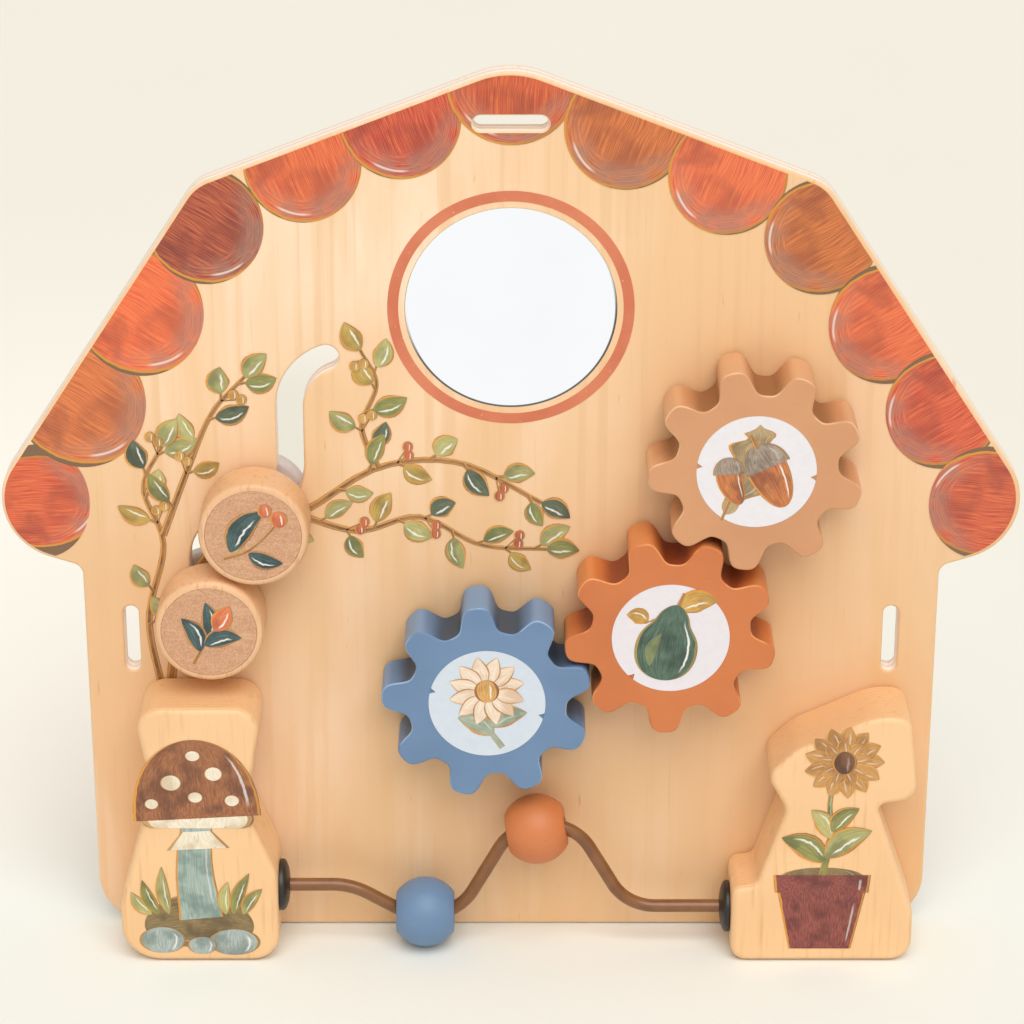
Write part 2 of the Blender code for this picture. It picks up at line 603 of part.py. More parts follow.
def make_wire(coated):
    """Bent wire whose ends sit in the blocks."""
    left, right = wire_ends()
    reach = WIRE_SOCKET_DEPTH - SEAT_GAP
    left_end = (left - reach, WIRE_LEFT_HEIGHT)
    right_end = (right + reach, WIRE_RIGHT_HEIGHT)
    route = rounded_route(left_end, wire_corners(), right_end, WIRE_ARC_STEP)
    shape = bmesh.new()
    rings = []
    for index, point in enumerate(route):
        heading = route[min(index + 1, len(route) - 1)] - route[max(index - 1, 0)]
        out = Vector((-heading.y, heading.x)).normalized()
        ring = []
        for side in range(WIRE_SIDES):
            angle = 2 * math.pi * side / WIRE_SIDES
            spot = point + out * WIRE_RADIUS * math.cos(angle)
            ring.append(shape.verts.new((spot.x, WIRE_Y + WIRE_RADIUS * math.sin(angle), spot.y)))
        rings.append(ring)
    for near, far in zip(rings, rings[1:]):
        for side in range(WIRE_SIDES):
            after = (side + 1) % WIRE_SIDES
            shape.faces.new((near[side], near[after], far[after], far[side]))
    shape.faces.new(rings[0])
    shape.faces.new(rings[-1])
    bmesh.ops.recalc_face_normals(shape, faces=shape.faces)
    place_object("bead_wire", mesh_from(shape, "bead_wire"), coated)


def bead_profile():
    """Ball with flat ends and a bore."""
    edge = math.acos(BEAD_LENGTH / 2 / BEAD_RADIUS)
    profile = [(BEAD_BORE_RADIUS, -BEAD_LENGTH / 2)]
    for index in range(BEAD_RINGS + 1):
        angle = edge + (math.pi - 2 * edge) * index / BEAD_RINGS
        profile.append((BEAD_RADIUS * math.sin(angle), -BEAD_RADIUS * math.cos(angle)))
    profile.append((BEAD_BORE_RADIUS, BEAD_LENGTH / 2))
    return profile


def bead_seats():
    """Arc centre of each bend that carries a bead, with the bend's radius and the bead's place on it."""
    corners = wire_corners()
    valley = corner_arc(corners[0][:2], corners[1][:2], corners[2][:2], corners[1][2])[0]
    crest = corner_arc(corners[1][:2], corners[2][:2], corners[3][:2], corners[2][2])[0]
    return [
        ("blue", valley, WIRE_VALLEY[2], BLUE_BEAD_TURN),
        ("orange", crest, WIRE_CREST[2], ORANGE_BEAD_TURN)]


def make_bead(name, centre, bend_radius, turn, paint):
    """Bead on a bend: its straight bore is centred on the bowed wire inside it."""
    bow = bend_radius - math.sqrt(bend_radius ** 2 - (BEAD_LENGTH / 2) ** 2)
    place = centre + direction(turn) * (bend_radius - bow / 2)
    travel = joint_axis(name + "_bead_travel", centre.x, centre.y)
    mesh = turned_mesh(name + "_bead", bead_profile(), WHEEL_SIDES, True)
    bead = place_object(name + "_bead", mesh, paint)
    bead.parent = travel
    bead.location = (place.x - centre.x, WIRE_Y, place.y - centre.y)
    across, up = direction(turn + math.pi / 2)
    bead.rotation_euler = turn_from_depth((across, 0, up))


def collar_profile():
    """Low dome with a hole for the wire."""
    hole = WIRE_RADIUS + SEAT_GAP
    profile = [(hole, 0), (COLLAR_RADIUS, 0), (COLLAR_RADIUS, COLLAR_RIM)]
    end_angle = math.acos(hole / COLLAR_RADIUS)
    for index in range(1, COLLAR_RINGS + 1):
        angle = end_angle * index / COLLAR_RINGS
        height = COLLAR_RIM + (COLLAR_HEIGHT - COLLAR_RIM) * math.sin(angle)
        profile.append((COLLAR_RADIUS * math.cos(angle), height))
    return profile


def make_collar(name, across, up, facing, rubber):
    """Black collar round the wire, on the inner side of a block."""
    mesh = turned_mesh(name, collar_profile(), PIN_SIDES, True)
    collar = place_object(name, mesh, rubber, (across + facing * SEAT_GAP, WIRE_Y, up))
    collar.rotation_euler = turn_from_depth((facing, 0, 0))


def block_screw_profile(clearance):
    """Countersunk screw seen from the panel's back; a clearance makes the hole for it."""
    head = PANEL_BACK - BLOCK_SCREW_SINK
    opening = head + (PANEL_THICKNESS if clearance else 0)
    tip = BLOCK_BACK - BLOCK_SCREW_REACH
    return [
        (0, opening),
        (BLOCK_SCREW_HEAD_RADIUS + clearance, opening),
        (BLOCK_SCREW_HEAD_RADIUS + clearance, head - clearance),
        (BLOCK_SCREW_RADIUS + clearance, head - BLOCK_SCREW_HEAD_DEPTH - clearance),
        (BLOCK_SCREW_RADIUS + clearance, tip - clearance),
        (0, tip - clearance)]


def make_block(name, centre_x, outline, wire_end, facing, wood):
    """Foot block with a socket for the wire in its inner side."""
    across, up = wire_end
    mesh = plate_mesh(name, rounded_outline(outline), BLOCK_FRONT, BLOCK_BACK)
    block = place_object(name, mesh, wood, (centre_x, 0, 0))
    round_edges(block, BLOCK_EDGE_ROUNDING)
    socket = stepped_profile([(WIRE_RADIUS + SEAT_GAP, -WIRE_SOCKET_DEPTH, WIRE_SOCKET_DEPTH)])
    cutter = turned_cutter(name + "_socket", socket, (across, WIRE_Y, up))
    cutter.rotation_euler = turn_from_depth((facing, 0, 0))
    cut(block, cutter)
    return block


def make_block_screws(panel, block, centre_x, steel):
    """Screws through the panel into one block, with the holes for them."""
    for level, (across, up) in zip(("lower", "upper"), BLOCK_SCREW_PLACES):
        name = "%s_%s_screw" % (block.name, level)
        place = (centre_x + across, 0, up)
        place_object(name, turned_mesh(name, block_screw_profile(0), PIN_SIDES), steel, place)
        cutter = turned_cutter(name + "_hole", block_screw_profile(SEAT_GAP), place)
        cut(panel, cutter)
        cut(block, cutter)


def build():
    """Make every piece of the board."""
    for item in list(bpy.data.objects):
        bpy.data.objects.remove(item)

    plywood = finish("birch_plywood", 0xF3CFA0, 0.55)
    beech = finish("beech", 0xEDBE8C, 0.5)
    picture = finish("printed_disc", 0xF2EFEA, 0.5)
    steel = finish("zinc_steel", 0xB8B8B4, 0.35, 1.0)
    glass = finish("mirror_acrylic", 0xF2F4F5, 0.03, 1.0)
    foam = finish("adhesive_pad", 0x3A3A3A, 0.9)
    coated = finish("brown_coated_wire", 0x8E6A4C, 0.4)
    rubber = finish("black_collar", 0x1E1C1B, 0.45)
    blue_paint = finish("blue_paint", 0x7691AB, 0.5)
    orange_paint = finish("terracotta_paint", 0xD8804C, 0.5)
    tan_paint = finish("tan_paint", 0xD9A074, 0.5)

    gears = gear_layout()
    panel = make_panel(plywood, [place for name, place, turn in gears])
    make_mirror(glass, foam)
    paints = {"upper": tan_paint, "middle": orange_paint, "lower": blue_paint}
    for name, place, turn in gears:
        make_gear(name, place, turn, paints[name], steel, picture, beech)
    for name, centre, place in slider_places():
        make_slider(name, centre, place, beech, picture, steel)

    left_x, right_x = wire_ends()
    left_end = (left_x, WIRE_LEFT_HEIGHT)
    right_end = (right_x, WIRE_RIGHT_HEIGHT)
    left = make_block("left_block", LEFT_BLOCK_X, LEFT_BLOCK_OUTLINE, left_end, 1, beech)
    right = make_block("right_block", RIGHT_BLOCK_X, RIGHT_BLOCK_OUTLINE, right_end, -1, beech)
    make_block_screws(panel, left, LEFT_BLOCK_X, steel)
    make_block_screws(panel, right, RIGHT_BLOCK_X, steel)
    make_wire(coated)
    make_collar("left_wire_collar", left_x, WIRE_LEFT_HEIGHT, 1, rubber)
    make_collar("right_wire_collar", right_x, WIRE_RIGHT_HEIGHT, -1, rubber)
    for name, centre, bend_radius, turn in bead_seats():
        make_bead(name, centre, bend_radius, turn, blue_paint if name == "blue" else orange_paint)


build()
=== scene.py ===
from math import acos, atan2, ceil, copysign, cos, degrees, exp, pi, radians, sin, sqrt, tan, tanh

import bpy
from mathutils import Matrix, Vector


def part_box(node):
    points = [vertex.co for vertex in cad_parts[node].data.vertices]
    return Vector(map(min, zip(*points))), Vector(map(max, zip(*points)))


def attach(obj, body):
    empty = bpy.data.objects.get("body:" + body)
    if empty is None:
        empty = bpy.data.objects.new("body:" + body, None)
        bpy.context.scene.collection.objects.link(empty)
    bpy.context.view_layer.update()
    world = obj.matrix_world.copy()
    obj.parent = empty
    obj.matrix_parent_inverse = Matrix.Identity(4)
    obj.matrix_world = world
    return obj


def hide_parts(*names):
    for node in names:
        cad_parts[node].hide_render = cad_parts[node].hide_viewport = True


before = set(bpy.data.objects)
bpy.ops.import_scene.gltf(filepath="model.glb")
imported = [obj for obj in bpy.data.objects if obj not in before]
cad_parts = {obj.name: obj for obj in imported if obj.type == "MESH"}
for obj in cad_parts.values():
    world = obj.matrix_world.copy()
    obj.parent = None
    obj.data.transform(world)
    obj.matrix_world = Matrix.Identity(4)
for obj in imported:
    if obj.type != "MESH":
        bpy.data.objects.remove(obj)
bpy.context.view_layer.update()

# Studio: a pale paper floor that runs on past the picture, one soft lamp above and to the right of the
# camera, and even light from the room. The board stands on the floor with its face towards the camera.
def linear(code):
    """Linear shader colour of an sRGB hex code; a node's output stays as it is."""
    if not isinstance(code, str):
        return code
    values = [byte / 255 for byte in bytes.fromhex(code)]
    return (*(value / 12.92 if value <= 0.04045 else ((value + 0.055) / 1.055) ** 2.4 for value in values), 1)


def node(tree, kind, inputs=None, out=0, **settings):
    """Adds a node and gives its output; inputs are values or other nodes' outputs."""
    made = tree.nodes.new("ShaderNode" + kind)
    for name, value in settings.items():
        setattr(made, name, value)
    for socket, value in (inputs or {}).items():
        if isinstance(value, bpy.types.NodeSocket):
            tree.links.new(value, made.inputs[socket])
        else:
            made.inputs[socket].default_value = value
    return made.outputs[out]


def new_material(name, **values):
    """Material with these shader values, its tree, its shader and the place on the object."""
    material = bpy.data.materials.new(name)
    material.use_nodes = True
    tree = material.node_tree
    shader = tree.nodes["Principled BSDF"]
    for socket, value in values.items():
        shader.inputs[socket.replace("_", " ")].default_value = value
    return material, tree, shader, node(tree, "TexCoord", out="Object")


def share_of(tree, *parts):
    """Product of parts: a number, a socket, or a (value, low, high) that climbs smoothly from 0 to 1."""
    product = None
    for part in parts:
        if isinstance(part, tuple):
            part = node(tree, "MapRange", dict(enumerate(part)), interpolation_type="SMOOTHSTEP")
        if product is not None:
            part = node(tree, "Math", {0: product, 1: part}, operation="MULTIPLY")
        product = part
    return product


def coats(tree, ground, *layers):
    """Colour of a ground under layers, each a colour and the parts of the share that it covers."""
    for colour, *parts in layers:
        mix = {0: share_of(tree, *parts), 6: linear(ground), 7: linear(colour)}
        ground = node(tree, "Mix", mix, 2, data_type="RGBA")
    return ground


def pattern(tree, place, scale, detail=3, **more):
    """Uneven pattern, drawn out by one scale or by three, in cycles per metre."""
    drawn = {"Vector": place, "Scale": scale if isinstance(scale, tuple) else (scale, scale, scale)}
    drawn = node(tree, "Mapping", drawn)
    return node(tree, "TexNoise", {"Vector": drawn, "Scale": 1, "Detail": detail, **more})


def dress(tree, shader, colour, relief=None, strength=0.1, depth=0.0002):
    """Gives a shader its colour and the relief of a pattern."""
    tree.links.new(colour, shader.inputs["Base Color"])
    if relief:
        bump = node(tree, "Bump", {"Height": relief, "Strength": strength, "Distance": depth})
        tree.links.new(bump, shader.inputs["Normal"])


bpy.context.scene.view_settings.view_transform = "Standard"
bpy.ops.mesh.primitive_plane_add(size=40, location=(0, 0, -0.0004))
floor = bpy.context.object
floor.name = "paper_floor"
bpy.ops.object.mode_set(mode="EDIT")
bpy.ops.mesh.subdivide(number_cuts=3)
bpy.ops.object.mode_set(mode="OBJECT")
# Matt paper: a hardly visible mottling, so that the ground isn't one dead tone.
paper, tree, shader, place = new_material("backdrop_paper", Roughness=0.95)
reach = node(tree, "VectorMath", {0: place}, operation="LENGTH", out="Value")
aside, behind, _ = node(tree, "SeparateXYZ", {0: place}).node.outputs
# The board's own shade, which shows only through the curved slot.
shade = node(tree, "VectorMath", {0: place, 1: (-0.114, 0.535, 0)}, operation="DISTANCE", out="Value")
# Painted light: the paper is painted lighter and cooler close round the board, and lighter behind the board, fading
# out to the right, where the board's shadow and the warm bounce from the wood fall.
dress(tree, shader, coats(
    tree, "EDE9DC", ("EFEBDF", pattern(tree, place, 6)), ("F0F2EB", (reach, 0.7, 0.1)),
    ("FDF9EF", (behind, -0.03, 0.12), (behind, 1, 0.2), (aside, 0.3, 0.05)),
    ("E8E4D7", (shade, 0.16, 0.05))))
floor.data.materials.append(paper)

world = bpy.data.worlds.new("studio_room")
bpy.context.scene.world = world
world.use_nodes = True
tree = world.node_tree
room = tree.nodes["Background"]
room.inputs["Color"].default_value = linear("FFFDFA")
room.inputs["Strength"].default_value = 0.56
pale = node(tree, "Background", {"Color": linear("F5EFE1"), "Strength": 1})
rays = node(tree, "LightPath").node.outputs
seen = node(tree, "Math", {0: rays["Is Camera Ray"], 1: rays["Is Glossy Ray"]}, operation="MAXIMUM")
shown = node(tree, "MixShader", {0: seen, 1: room.outputs[0], 2: pale})
tree.links.new(shown, tree.nodes["World Output"].inputs["Surface"])

bpy.ops.object.light_add(type="SUN", location=(0.6, -1.2, 1.6))
lamp = bpy.context.object
lamp.name = "soft_lamp"
lamp.data.energy = 1.9
lamp.data.angle = radians(50)
lamp.data.color = (1, 0.995, 0.985)
lamp.rotation_euler = Vector((-0.1, 0.57, -0.81)).to_track_quat("-Z", "Y").to_euler()

# Reflector card: it lies in front of the board, below the picture, lights upwards only, and only the
# mirror sees it.
bpy.ops.mesh.primitive_plane_add(size=1.2, location=(0, -0.75, 0.001))
card = bpy.context.object
card.name = "reflector_card"
white, tree, shader, place = new_material("reflector_white", Roughness=1)
shader.inputs["Base Color"].default_value = linear("000000")
shader.inputs["Emission Color"].default_value = linear("FBFBFB")
shader.inputs["Emission Strength"].default_value = 1
clear = node(tree, "BsdfTransparent")
below = node(tree, "NewGeometry", out="Backfacing")
upwards = node(tree, "MixShader", {0: below, 1: shader.outputs[0], 2: clear})
tree.links.new(upwards, tree.nodes["Material Output"].inputs["Surface"])
card.data.materials.append(white)
card.visible_camera = card.visible_diffuse = card.visible_shadow = False

bpy.ops.object.camera_add(location=(0.00041, -1.2615, 0.739), rotation=(radians(90 - 23.754), 0, 0))
camera = bpy.context.object
camera.data.lens = 122.88
camera.data.clip_start = 0.05
bpy.context.scene.camera = camera


# Back panel: a barn-shaped sheet of birch plywood, 10 mm thick, cut out by a router with eased edges.
# Three slots take straps, a curved slot guides the sliders, and a shallow recess holds the mirror.
PANEL_FRONT = -0.005
EASE = 0.0011
THROUGH = 0.02
ARC_STEP = radians(4)


def heading_of(turn):
    """Direction in the board's plane, in degrees anticlockwise from +X."""
    return Vector((cos(radians(turn)), sin(radians(turn))))


def bend_at(before, corner, after, radius):
    """Start, spoke from the centre and turn of the arc that rounds a corner."""
    arriving = (corner - before).normalized()
    leaving = (after - corner).normalized()
    turn = atan2(arriving.x * leaving.y - arriving.y * leaving.x, arriving.dot(leaving))
    first = corner - arriving * radius * tan(abs(turn) / 2)
    return first, Vector((arriving.y, -arriving.x)) * radius * copysign(1, turn), turn


def bend_points(*bend):
    """Points along such an arc."""
    first, spoke, turn = bend_at(*bend)
    centre = first - spoke
    count = max(2, ceil(abs(turn) / ARC_STEP))
    return [centre + Matrix.Rotation(turn * step / count, 2) @ spoke for step in range(count + 1)]


def rounded(corners):
    """Closed outline round corners given as (across, up, radius)."""
    spots = [Vector(corner[:2]) for corner in corners]
    radii = [corner[2] for corner in corners]
    bends = zip(spots[-1:] + spots, spots, spots[1:] + spots[:1], radii)
    return [point for bend in bends for point in bend_points(*bend)]


def fresh_mesh(name, vertices, fill, spots):
    """Circle primitive with its points put at these places."""
    bpy.ops.mesh.primitive_circle_add(vertices=vertices, radius=0.1, fill_type=fill)
    piece = bpy.context.object
    piece.name = name
    for vertex, spot in zip(piece.data.vertices, spots):
        vertex.co = spot
    return piece


def open_all():
    """Enters edit mode with the whole mesh selected."""
    bpy.ops.object.mode_set(mode="EDIT")
    bpy.ops.mesh.select_all(action="SELECT")


def close_up():
    """Turns a mesh's faces outwards and leaves edit mode."""
    bpy.ops.mesh.select_all(action="SELECT")
    bpy.ops.mesh.normals_make_consistent(inside=False)
    bpy.ops.object.mode_set(mode="OBJECT")


def lofted(name, rings):
    """Solid through outlines with equally many points, each given with its depth."""
    outline, depth = rings[0]
    piece = fresh_mesh(name, len(outline), "NGON", [(point[0], depth, point[1]) for point in outline])
    for outline, depth in rings[1:]:
        bpy.ops.object.mode_set(mode="EDIT")
        bpy.ops.mesh.extrude_region_move()
        bpy.ops.object.mode_set(mode="OBJECT")
        newest = [vertex for vertex in piece.data.vertices if vertex.select]
        for vertex, point in zip(newest, outline):
            vertex.co = (point[0], depth, point[1])
    bpy.ops.object.mode_set(mode="EDIT")
    close_up()
    return piece


def plate(name, outline, front, back):
    """Outline in the board's plane, extruded from front to back."""
    return lofted(name, [(outline, front), (outline, back)])


def eased_rings(outline_at):
    """Rings with rounded rims; outline_at gives the outline for how far a ring stands back."""
    front = [(outline_at(EASE * (1 - sin(turn))), PANEL_FRONT + EASE * (1 - cos(turn)))
             for turn in (pi / 2 * step / 3 for step in range(4))]
    return front + [(outline, -depth) for outline, depth in reversed(front)]


def turned(name, profile, across, up, steps=96):
    """Closed profile of (radius, depth) spun round a front-to-back axis."""
    spots = [(across + radius, depth, up) for radius, depth in profile]
    piece = fresh_mesh(name, len(profile), "NOTHING", spots)
    open_all()
    bpy.ops.mesh.spin(steps=steps, angle=2 * pi, center=(across, 0, up), axis=(0, 1, 0),
                      use_auto_merge=True)
    bpy.ops.mesh.select_all(action="SELECT")
    bpy.ops.mesh.remove_doubles(threshold=1e-6)
    bpy.ops.mesh.delete_loose(use_verts=True, use_edges=True, use_faces=False)
    close_up()
    return piece


def pick(*pieces):
    """Selects these pieces alone and makes the first one active."""
    bpy.ops.object.select_all(action="DESELECT")
    for piece in pieces:
        piece.select_set(True)
    bpy.context.view_layer.objects.active = pieces[0]


def apply_modifier(piece, kind, **settings):
    """Adds a modifier and applies it."""
    modifier = piece.modifiers.new(kind, kind)
    for name, value in settings.items():
        setattr(modifier, name, value)
    pick(piece)
    bpy.ops.object.modifier_apply(modifier=modifier.name)


def carve(piece, cutter, operation="DIFFERENCE"):
    """Takes the cutter out of the piece and throws the cutter away."""
    apply_modifier(piece, "BOOLEAN", object=cutter, operation=operation, solver="EXACT")
    bpy.data.objects.remove(cutter)


def ease_rims(piece, width, segments=3):
    """Rounds the rims of a plate and shades it smooth."""
    apply_modifier(piece, "BEVEL", width=width, segments=segments, limit_method="ANGLE",
                   angle_limit=radians(60), use_clamp_overlap=False)
    smooth_plate(piece)


def smooth(piece, angle=35):
    """Shades round faces smooth and keeps real edges."""
    pick(piece)
    bpy.ops.object.shade_smooth_by_angle(angle=radians(angle))


def smooth_plate(piece):
    """Shades a plate so that its eased rims don't tint the large flat faces."""
    smooth(piece)
    apply_modifier(piece, "WEIGHTED_NORMAL", keep_sharp=True)


def finish_piece(piece, material, body, slot, *nodes):
    """Gives a piece its material and body and hides the CAD nodes that it stands for; slot is not used."""
    if material:
        piece.data.materials.clear()
        piece.data.materials.append(material)
    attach(piece, body)
    if nodes:
        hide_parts(*nodes)


def slot_outline(route, half_width):
    """Round-ended outline that follows a route of points."""
    left, right = [], []
    for index, point in enumerate(route):
        heading = route[min(index + 1, len(route) - 1)] - route[max(index - 1, 0)]
        side = Vector((-heading.y, heading.x)).normalized() * half_width
        left.append(point + side)
        right.append(point - side)
    caps = [[end + Matrix.Rotation(-pi * step / 16, 2) @ (start - end) for step in range(1, 16)]
            for end, start in ((route[-1], left[-1]), (route[0], right[0]))]
    return left + caps[0] + right[::-1] + caps[1]


def inset(outline, distance):
    """Outline moved inwards by a distance."""
    headings = [after - before for before, after in zip(outline[-1:] + outline, outline[1:] + outline[:1])]
    return [point + Vector((-heading.y, heading.x)).normalized() * distance
            for point, heading in zip(outline, headings)]


HALF_PANEL = [(0.1695, 0, 0.022), (0.1695, 0.1624, 0.005), (0.2142, 0.1767, 0.0259), (0.1199, 0.3208, 0.018)]
RIDGE = (0, 0.3676, 0.034)
MIRRORED = [(-across, up, radius) for across, up, radius in reversed(HALF_PANEL)]
barn = rounded(HALF_PANEL + [RIDGE] + MIRRORED)
panel = lofted("back_panel_sheet", eased_rings(lambda back: inset(barn, back)))

slots = [([Vector(end) for end in ends], 0.003) for ends in (
    ((-0.1512, 0.11955), (-0.1512, 0.14205)), ((0.1512, 0.11955), (0.1512, 0.14205)),
    ((-0.01125, 0.3449), (0.01125, 0.3449)))]
stops = [Vector(stop) for stop in ((-0.0715, 0.2507), (-0.086, 0.2454), (-0.086, 0.1902), (-0.1215, 0.1773),
                                   (-0.1215, 0.1541), (-0.1184, 0.144))]
track = [stops[0]]
for bend in zip(stops, stops[1:], stops[2:], (0.022, 0.024, 0.018, 0.07)):
    track += bend_points(*bend)
track = [track[0]] + [here for before, here in zip(track, track[1:]) if (here - before).length > 0.0002]
track.append(stops[-1] + (stops[-1] - stops[-2]).normalized() * 0.0005)
slots.append((track, 0.0052))
for route, half_width in slots:
    rings = eased_rings(lambda back: slot_outline(route, half_width + back))
    carve(panel, lofted("slot_cutter", [(rings[0][0], -THROUGH)] + rings + [(rings[0][0], THROUGH)]))

BLOCK_X = 0.126
SCREW_HEAD = [(0, THROUGH), (0.0043, THROUGH), (0.0043, 0.0045), (0.0022, 0.0023), (0.0022, -THROUGH),
              (0, -THROUGH)]
for side in (-1, 1):
    for across, up in ((0, 0.02), (0.005, 0.092)):
        carve(panel, turned("screw_cutter", SCREW_HEAD, side * BLOCK_X + across, up, 32))
MIRROR = Vector((0, 0.2711))
RECESS_RADIUS = 0.04076
RECESS_FLOOR = -0.0014
recess = [(0, -THROUGH), (RECESS_RADIUS, -THROUGH), (RECESS_RADIUS, RECESS_FLOOR), (0, RECESS_FLOOR)]
carve(panel, turned("recess_cutter", recess, *MIRROR, steps=128))
smooth_plate(panel)

# Lacquered birch: pale peach face veneer with long upright figure, brown flecks and a soft grain, and on
# the sawn edge five plies, light where the grain runs along the edge and darker where it is cut across.
def squareness(tree, axis, kind="True Normal"):
    """How squarely a surface faces along an axis, either way."""
    normal = node(tree, "NewGeometry", out=kind)
    part = node(tree, "SeparateXYZ", {0: normal}, axis)
    return node(tree, "Math", {0: part}, operation="ABSOLUTE")


plywood, tree, shader, place = new_material("birch_plywood", Roughness=0.5, Coat_Weight=0.12, Coat_Roughness=0.35)
aside, depth, height = node(tree, "SeparateXYZ", {0: place}).node.outputs
waves = pattern(tree, place, (26, 30, 5.5), 4, Distortion=0.8)
clouds = pattern(tree, place, 9, 2)
streaks = pattern(tree, place, (230, 60, 5))
pores = pattern(tree, place, (900, 300, 24), 2)
flecks = pattern(tree, place, (420, 60, 60), 1)
# The face is painted darker towards the right and towards the bottom: painted shade, standing in for the shade that
# the wheels and the fall of the light leave on the board.
face = coats(
    tree, "F3C99B", ("FFE2C4", (waves, 0.36, 0.66)), ("EFBE84", (aside, -0.1, 0.14), 0.5),
    ("EFC391", (clouds, 0.4, 0.72)), ("DFAF7B", (height, 0.25, 0.15), 0.45), ("E8BB88", (streaks, 0.48, 0.68), 0.5),
    ("E3AF7A", (pores, 0.62, 0.98)), ("DDAA78", (flecks, 0.76, 0.84)))
PLIES_PER_METRE = 500
ply = node(tree, "Math", {0: depth, 1: PLIES_PER_METRE, 2: 0.5}, operation="MULTIPLY_ADD")
ply = node(tree, "Math", {0: ply, 1: 1}, operation="PINGPONG")
edge = coats(tree, "F2D8BF", ("FBF0E6", (ply, 0.42, 0.58)), ("EBC7A6", (pores, 0.55, 0.9)))
dress(tree, shader, coats(tree, edge, (face, (squareness(tree, "Y"), 0.45, 0.75))), pores, 0.08)
finish_piece(panel, plywood, "board", "plywood", "back_panel")


# Roof scallops: thirteen lobes painted in reds and burnt orange along the eaves. Each was brushed towards
# the roof edge, edged in ochre and dark brown, and overlaps the lobe on its left.
LOBES = [
    (-184.8, 190.6, 19.6, 24.2, "CF4F31"), (-166.6, 232.6, 25.2, 27.4, "CB6A36"),
    (-142.1, 269.7, 24.4, 26.2, "EA6338"), (-116, 304.5, 22.2, 23.4, "93392C"),
    (-78.6, 329.5, 22.4, 23.6, "D95C34"), (-41.5, 347.1, 23, 24, "BE3C2B"),
    (0.4, 361.1, 24.6, 24.6, "C24A29"), (43.5, 343.6, 23.6, 24.6, "BC622F"),
    (81.8, 324.8, 22.6, 23.8, "E0633C"), (118.1, 300.1, 21.9, 23.2, "B8622B"),
    (144.7, 264.8, 22.8, 24.6, "DE5F38"), (167.9, 229.2, 22.6, 24.6, "C9472F"),
    (186, 189.9, 22, 24, "C24A31")]
LOBE_THICKNESS = 0.0001
LOBE_STEP = 0.000012


def edge_lines(tree, place, body, reach, side, line, lap, width):
    """Lays a wavering ochre line along a painted edge, with a thin dark one outside it."""
    shake = {0: pattern(tree, place, 260, 2), 1: width * 1.6, 2: reach}
    wobble = node(tree, "Math", shake, operation="MULTIPLY_ADD")
    lap += width * 0.8
    outer = node(tree, "Math", {0: side, 1: -width * 0.3, 2: lap + width * 1.95}, operation="MULTIPLY_ADD")
    past = node(tree, "Math", {0: wobble, 1: outer}, operation="SUBTRACT")
    lined = coats(tree, line, ("5E432F", side, 0.25))
    return coats(tree, body, (lined, (wobble, lap, lap + width * 0.4)), ("7D5F42", (past, 0, width * 0.3)))


def roof_paint(name, colour, light, dark):
    """Dry-brushed paint on a lobe: fine strokes towards the roof edge that bend round with the lower rim."""
    material, tree, shader, place = new_material(name, Roughness=0.5)
    spot = node(tree, "TexCoord", out="UV")
    centred = node(tree, "VectorMath", {0: spot, 1: (0.5, 0.5, 0)}, operation="SUBTRACT")
    across, along, _ = node(tree, "SeparateXYZ", {0: centred}).node.outputs
    reach = share_of(tree, 2, node(tree, "VectorMath", {0: centred}, operation="LENGTH", out="Value"))
    angle = node(tree, "Math", {0: across, 1: along}, operation="ARCTAN2")
    warp = node(tree, "TexNoise", {"Vector": centred, "Scale": 3, "Detail": 1}, out="Color")
    warped = node(tree, "VectorMath", {0: warp, 1: (0.05, 0.05, 0), 2: centred}, operation="MULTIPLY_ADD")
    up_strokes = pattern(tree, warped, (150, 3.6, 1))
    round_place = node(tree, "CombineXYZ", {0: angle, 1: reach})
    round_strokes = pattern(tree, round_place, (2, 56, 1))
    rim = share_of(tree, (reach, 0.45, 0.85), (along, 0.05, -0.25))
    strokes = node(tree, "Mix", {0: rim, 2: up_strokes, 3: round_strokes}, data_type="FLOAT")
    clouds = pattern(tree, centred, 2.6, Distortion=0.6)
    glint = ((reach, 0.84, 0.865), (reach, 0.9, 0.875), (angle, -2.95, -2.75), (angle, -2.15, -2.35), 0.7)
    body = coats(
        tree, colour, (light, (strokes, 0.43, 0.58)), (dark, (clouds, 0.42, 0.66), 0.6),
        ("A98A78", rim, (clouds, 0.3, 0.6), 0.55), (light, (up_strokes, 0.66, 0.74)), (dark, (strokes, 0.4, 0.3)),
        ("F3E4DC", *glint))
    side = share_of(tree, (across, -0.1, 0.2))
    dress(tree, shader, edge_lines(tree, place, body, reach, side, "D38F2E", 0.955, 0.022), strokes, 0.2, 0.0001)
    return material


